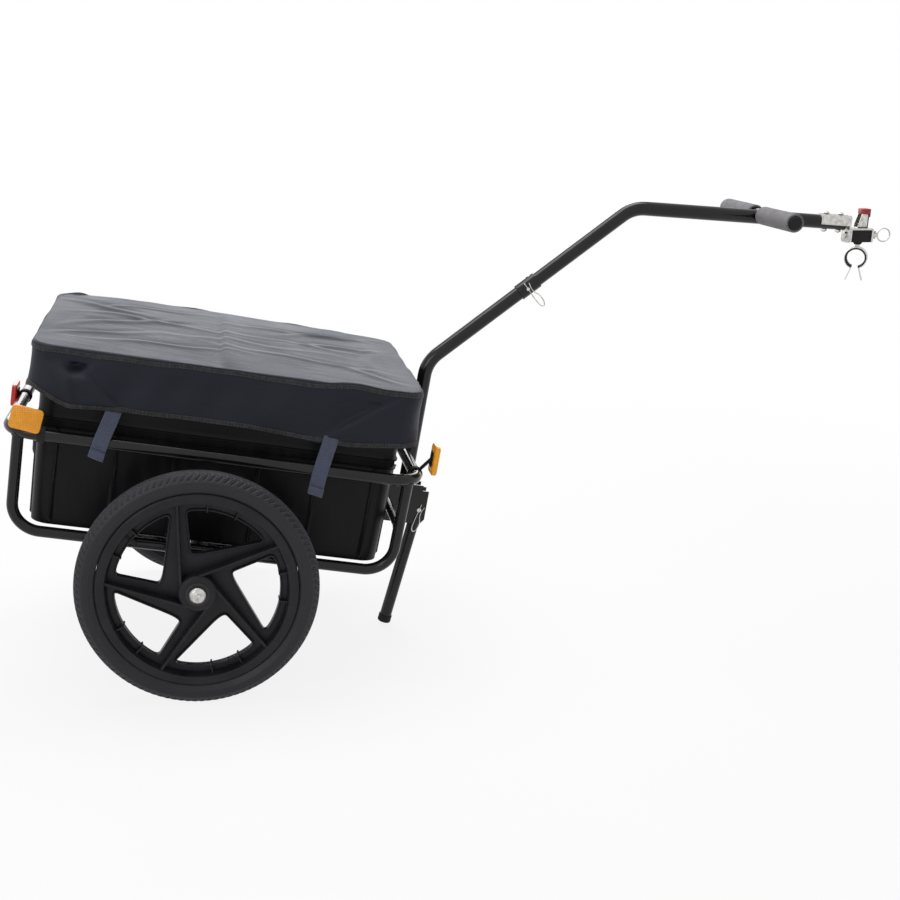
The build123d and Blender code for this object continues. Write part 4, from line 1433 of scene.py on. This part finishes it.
def makeSaddle():
    # A strap bent over the drawbar's upper half, carried on to an upright plate, with two
    # bolts down through both
    rise = math.radians(saddle["rise"])
    run = np.array([math.cos(rise), 0, math.sin(rise)])
    up = np.array([-run[2], 0, run[0]])
    side = np.array([0.0, 1, 0])
    end = np.array([saddle["end"], 0,
                    saddle["knee"][1] + math.tan(rise) * (saddle["end"] - saddle["knee"][0])])
    below = math.radians(saddle["below"])
    arc = np.linspace(-below, tau / 2 + below, 40)
    ring = [np.stack([radius * np.cos(turn), radius * np.sin(turn)], -1)
            for radius, turn in ((saddle["inner"], arc), (saddle["outer"], arc[::-1]))]
    section = rounded(np.concatenate(ring), 0.0004, 3)
    line = end + np.linspace(-saddle["length"], saddle["reach"], 12)[:, None] * run
    # the strap's ends are drawn in to the middle of its own wall
    middle = unit(section) * (saddle["inner"] + saddle["outer"]) / 2
    sections = np.stack([middle] + [section] * 12 + [middle])
    line = np.concatenate([line[:1], line, line[-1:]])
    strap = carried(line, side[None] + 0 * line, up[None] + 0 * line, sections)
    width = saddle["outer"]
    plate = rounded([(-width, saddle["plateTop"]), (width, saddle["plateTop"]),
                     (width, saddle["plateLow"]),
                     (-width, saddle["plateLow"])], 0.006, 6)
    plate = np.column_stack([0 * plate[:, 0], plate])
    grids = [(strap, False, True),
             (toLevel(atCoupling(blockGrid(plate, *saddle["plate"], (1, 0, 0)))), False, True)]
    head = rounded([(0.0, 0.0), (0.0055, 0.0), (0.0055, 0.0020), (0.0030, 0.0036), (0.0, 0.0038)],
                   0.0012, 4, False)
    nut = rounded([(0.0, 0.0), (0.0055, 0.0), (0.0055, 0.0035), (0.003, 0.0035), (0.003, 0.0055),
                   (0.0, 0.0055)], 0.0004, 3, False)
    bolts = []
    for back in saddle["bolts"]:
        place = end - run * back
        bolts.append((turnedGrid(head, place + up * saddle["outer"], up, side, 28), True, False))
        bolts.append((turnedGrid(nut, place - up * (saddle["inner"] - 0.0002), -up, side, 6),
                      True, False))
    bracket = joined("bracket_saddle", grids, finishes["zinc_steel"], "frame")
    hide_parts("hitch_bracket")
    joined("bracket_bolts", bolts, finishes["zinc_steel"], "frame")


makeSaddle()
makeCoupling()
print("coupling: done")

weld = {"bead": 0.0016, "ripples": 26, "ripple": 0.0003, "ring": 0.010, "tube": 0.0095,
        "bar": 0.008,
        # tube's middle and direction, bar's shift and direction, both radii; y is mirrored
        "joints": (((-0.316, 0.2288, 0.207), (0.776, 0.63, 0), (0, 0, 0), (0, -0.097, -1), "ring",
                    "tube"),
                   ((0.327, 0.2288, 0.207), (-0.776, 0.63, 0), (0, 0, 0), (0, -0.097, -1), "ring",
                    "tube"),
                   ((0.327, 0.2202, 0.118), (0, 0.097, 1), (0, 0, 0), (0, -1, 0), "tube", "bar"),
                   ((-0.1645, 0.2120, 0.034), (1, 0, 0), (0, 0, 0), (0, -1, 0), "tube", "bar"),
                   ((0.1755, 0.2120, 0.034), (1, 0, 0), (0, 0, 0), (0, -1, 0), "tube", "bar"))}


def weldBead(middle, main, shift, branch, mainRadius, branchRadius):
    # The bead lies where a bar of radius r meets a tube of radius R: at angle a round the
    # bar it stands from the tube's middle by the square root of R squared less the square
    # of the bar's offset across the tube. Its round section swells in ripples.
    main = unit(np.array(main, float))
    branch = unit(np.array(branch, float) - main * np.dot(branch, main))
    cross = np.cross(main, branch)
    a = np.arange(120) * tau / 120
    ring = branchRadius * (np.cos(a)[:, None] * main + np.sin(a)[:, None] * cross)
    offset = branchRadius * np.sin(a) + np.dot(shift, cross)
    height = np.sqrt(np.clip(mainRadius ** 2 - offset ** 2, 1e-9, None))
    line = np.array(middle) + np.array(shift) + ring + branch * height[:, None]
    out = unit(unit(ring) + branch * 0.9)
    across = unit(np.cross(alongLine(line, True), out))
    swell = weld["bead"] + weld["ripple"] * np.sin(a * weld["ripples"])
    return carried(line, across, out, softBar(10, 1.0)[None] * swell[:, None, None])


def makeWelds():
    flip = np.array([1, -1, 1])
    beads = [weldBead(np.multiply(middle, side), np.multiply(main, side), np.multiply(shift, side),
                      np.multiply(branch, side), weld[tube], weld[bar])
             for middle, main, shift, branch, tube, bar in weld["joints"]
             for side in (flip, -flip * [-1, 1, -1])]
    count, sides = beads[0].shape[:2]
    one = gridFaces(count, sides, True, True)
    faces = np.concatenate([one + k * count * sides for k in range(len(beads))])
    piece = makePiece("weld_beads", onTrailer(np.concatenate(beads).reshape(-1, 3)), faces,
                      finishes["black_steel"])
    joinDoubles(piece)
    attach(piece, "frame")


makeWelds()
print("welds: done")

stage = {"floorSize": 30.0, "nearShare": 0.86, "nearEdge": 0.9, "farEdge": 2.2, "ambient": 0.28}


def seenWhite(wire):
    # 1 where the camera looks, and where a gloss or glass ray looks
    rays = wire.node("LightPath").socket.node.outputs
    camera, glossy, through = (Wire(wire.tree, rays["Is " + name + " Ray"])
                               for name in ("Camera", "Glossy", "Transmission"))
    return wire.math("MAXIMUM", camera, wire.math("MAXIMUM", glossy, through))


def makeStage():
    # The floor is white to look at, apart from the share that keeps the shadow near the
    # trailer, and a pale matt surface to the light
    material, wire = startMaterial("paleFloor")
    x, y, _ = coordinates(wire).axes()
    share = wire.math("SQRT", x * x + y * y).ranged(stage["nearEdge"], stage["farEdge"],
                                                    stage["nearShare"], 1)
    mottle = noise(wire, coordinates(wire), 3, 3).ranged(0.3, 0.7, 0, 1)
    lit = wire.node("BsdfDiffuse", {},
                    {"Color": mottle.mixed((0.90, 0.90, 0.90), (0.93, 0.93, 0.93))})
    glow = wire.node("Emission", {}, {"Color": (1, 1, 1, 1), "Strength": 1.0})
    both = wire.node("MixShader", {}, {0: seenWhite(wire) * share, 1: lit, 2: glow})
    finished(wire, both, "ShaderNodeOutputMaterial")
    half = stage["floorSize"] / 2
    corners = np.array([[-half, -half, 0], [half, -half, 0], [half, half, 0], [-half, half, 0]])
    floor = makePiece("floor", corners, np.array([[0, 1, 2, 3]]), material, smooth=False)
    world = bpy.data.worlds.new("studio")
    bpy.context.scene.world = world
    world.use_nodes = True
    world.node_tree.nodes.clear()
    air = Wire(world.node_tree, None)
    strength = seenWhite(air) * (1 - stage["ambient"]) + stage["ambient"]
    finished(air, air.node("Background", {}, {"Color": (1, 1, 1, 1), "Strength": strength}),
             "ShaderNodeOutputWorld")


lamps = {  # place, aim, width, height, power
    "overheadLamp": ((-0.5, 0.5, 2.9), (-0.3, 0, 0.3), 3.0, 1.6, 62),
    "backLamp": ((-0.2, 3.4, 1.5), (-0.2, 0, 0.4), 3.6, 1.2, 40),
    "fillLamp": ((-2.2, -2.6, 1.7), (-0.3, 0, 0.3), 1.6, 1.2, 16)}


def makeLamps():
    for name, (place, aim, width, height, power) in lamps.items():
        light = bpy.data.lights.new(name, "AREA")
        light.shape = "RECTANGLE"
        light.size, light.size_y, light.energy = width, height, power
        lamp = bpy.data.objects.new(name, light)
        lamp.location = place
        lamp.rotation_euler = (Vector(aim) - Vector(place)).to_track_quat("-Z", "Y").to_euler()
        lamp.visible_camera = False
        bpy.context.scene.collection.objects.link(lamp)


view = {"place": (0.0264, -2.3097, 0.7957), "turn": (73.4811, -0.4572, -5.8304),
        "lens": 52.459, "shift": (0.1192, 0.0216)}


def makeCamera():
    data = bpy.data.cameras.new("camera")
    data.lens, data.sensor_width = view["lens"], 36
    data.shift_x, data.shift_y = view["shift"]
    camera = bpy.data.objects.new("camera", data)
    camera.location = axleCentre + Vector(view["place"])
    camera.rotation_euler = Euler([math.radians(a) for a in view["turn"]], "XYZ")
    bpy.context.scene.collection.objects.link(camera)
    bpy.context.scene.camera = camera


makeStage()
makeLamps()
makeCamera()
bpy.context.scene.view_settings.view_transform = "Standard"
print("stage: done")
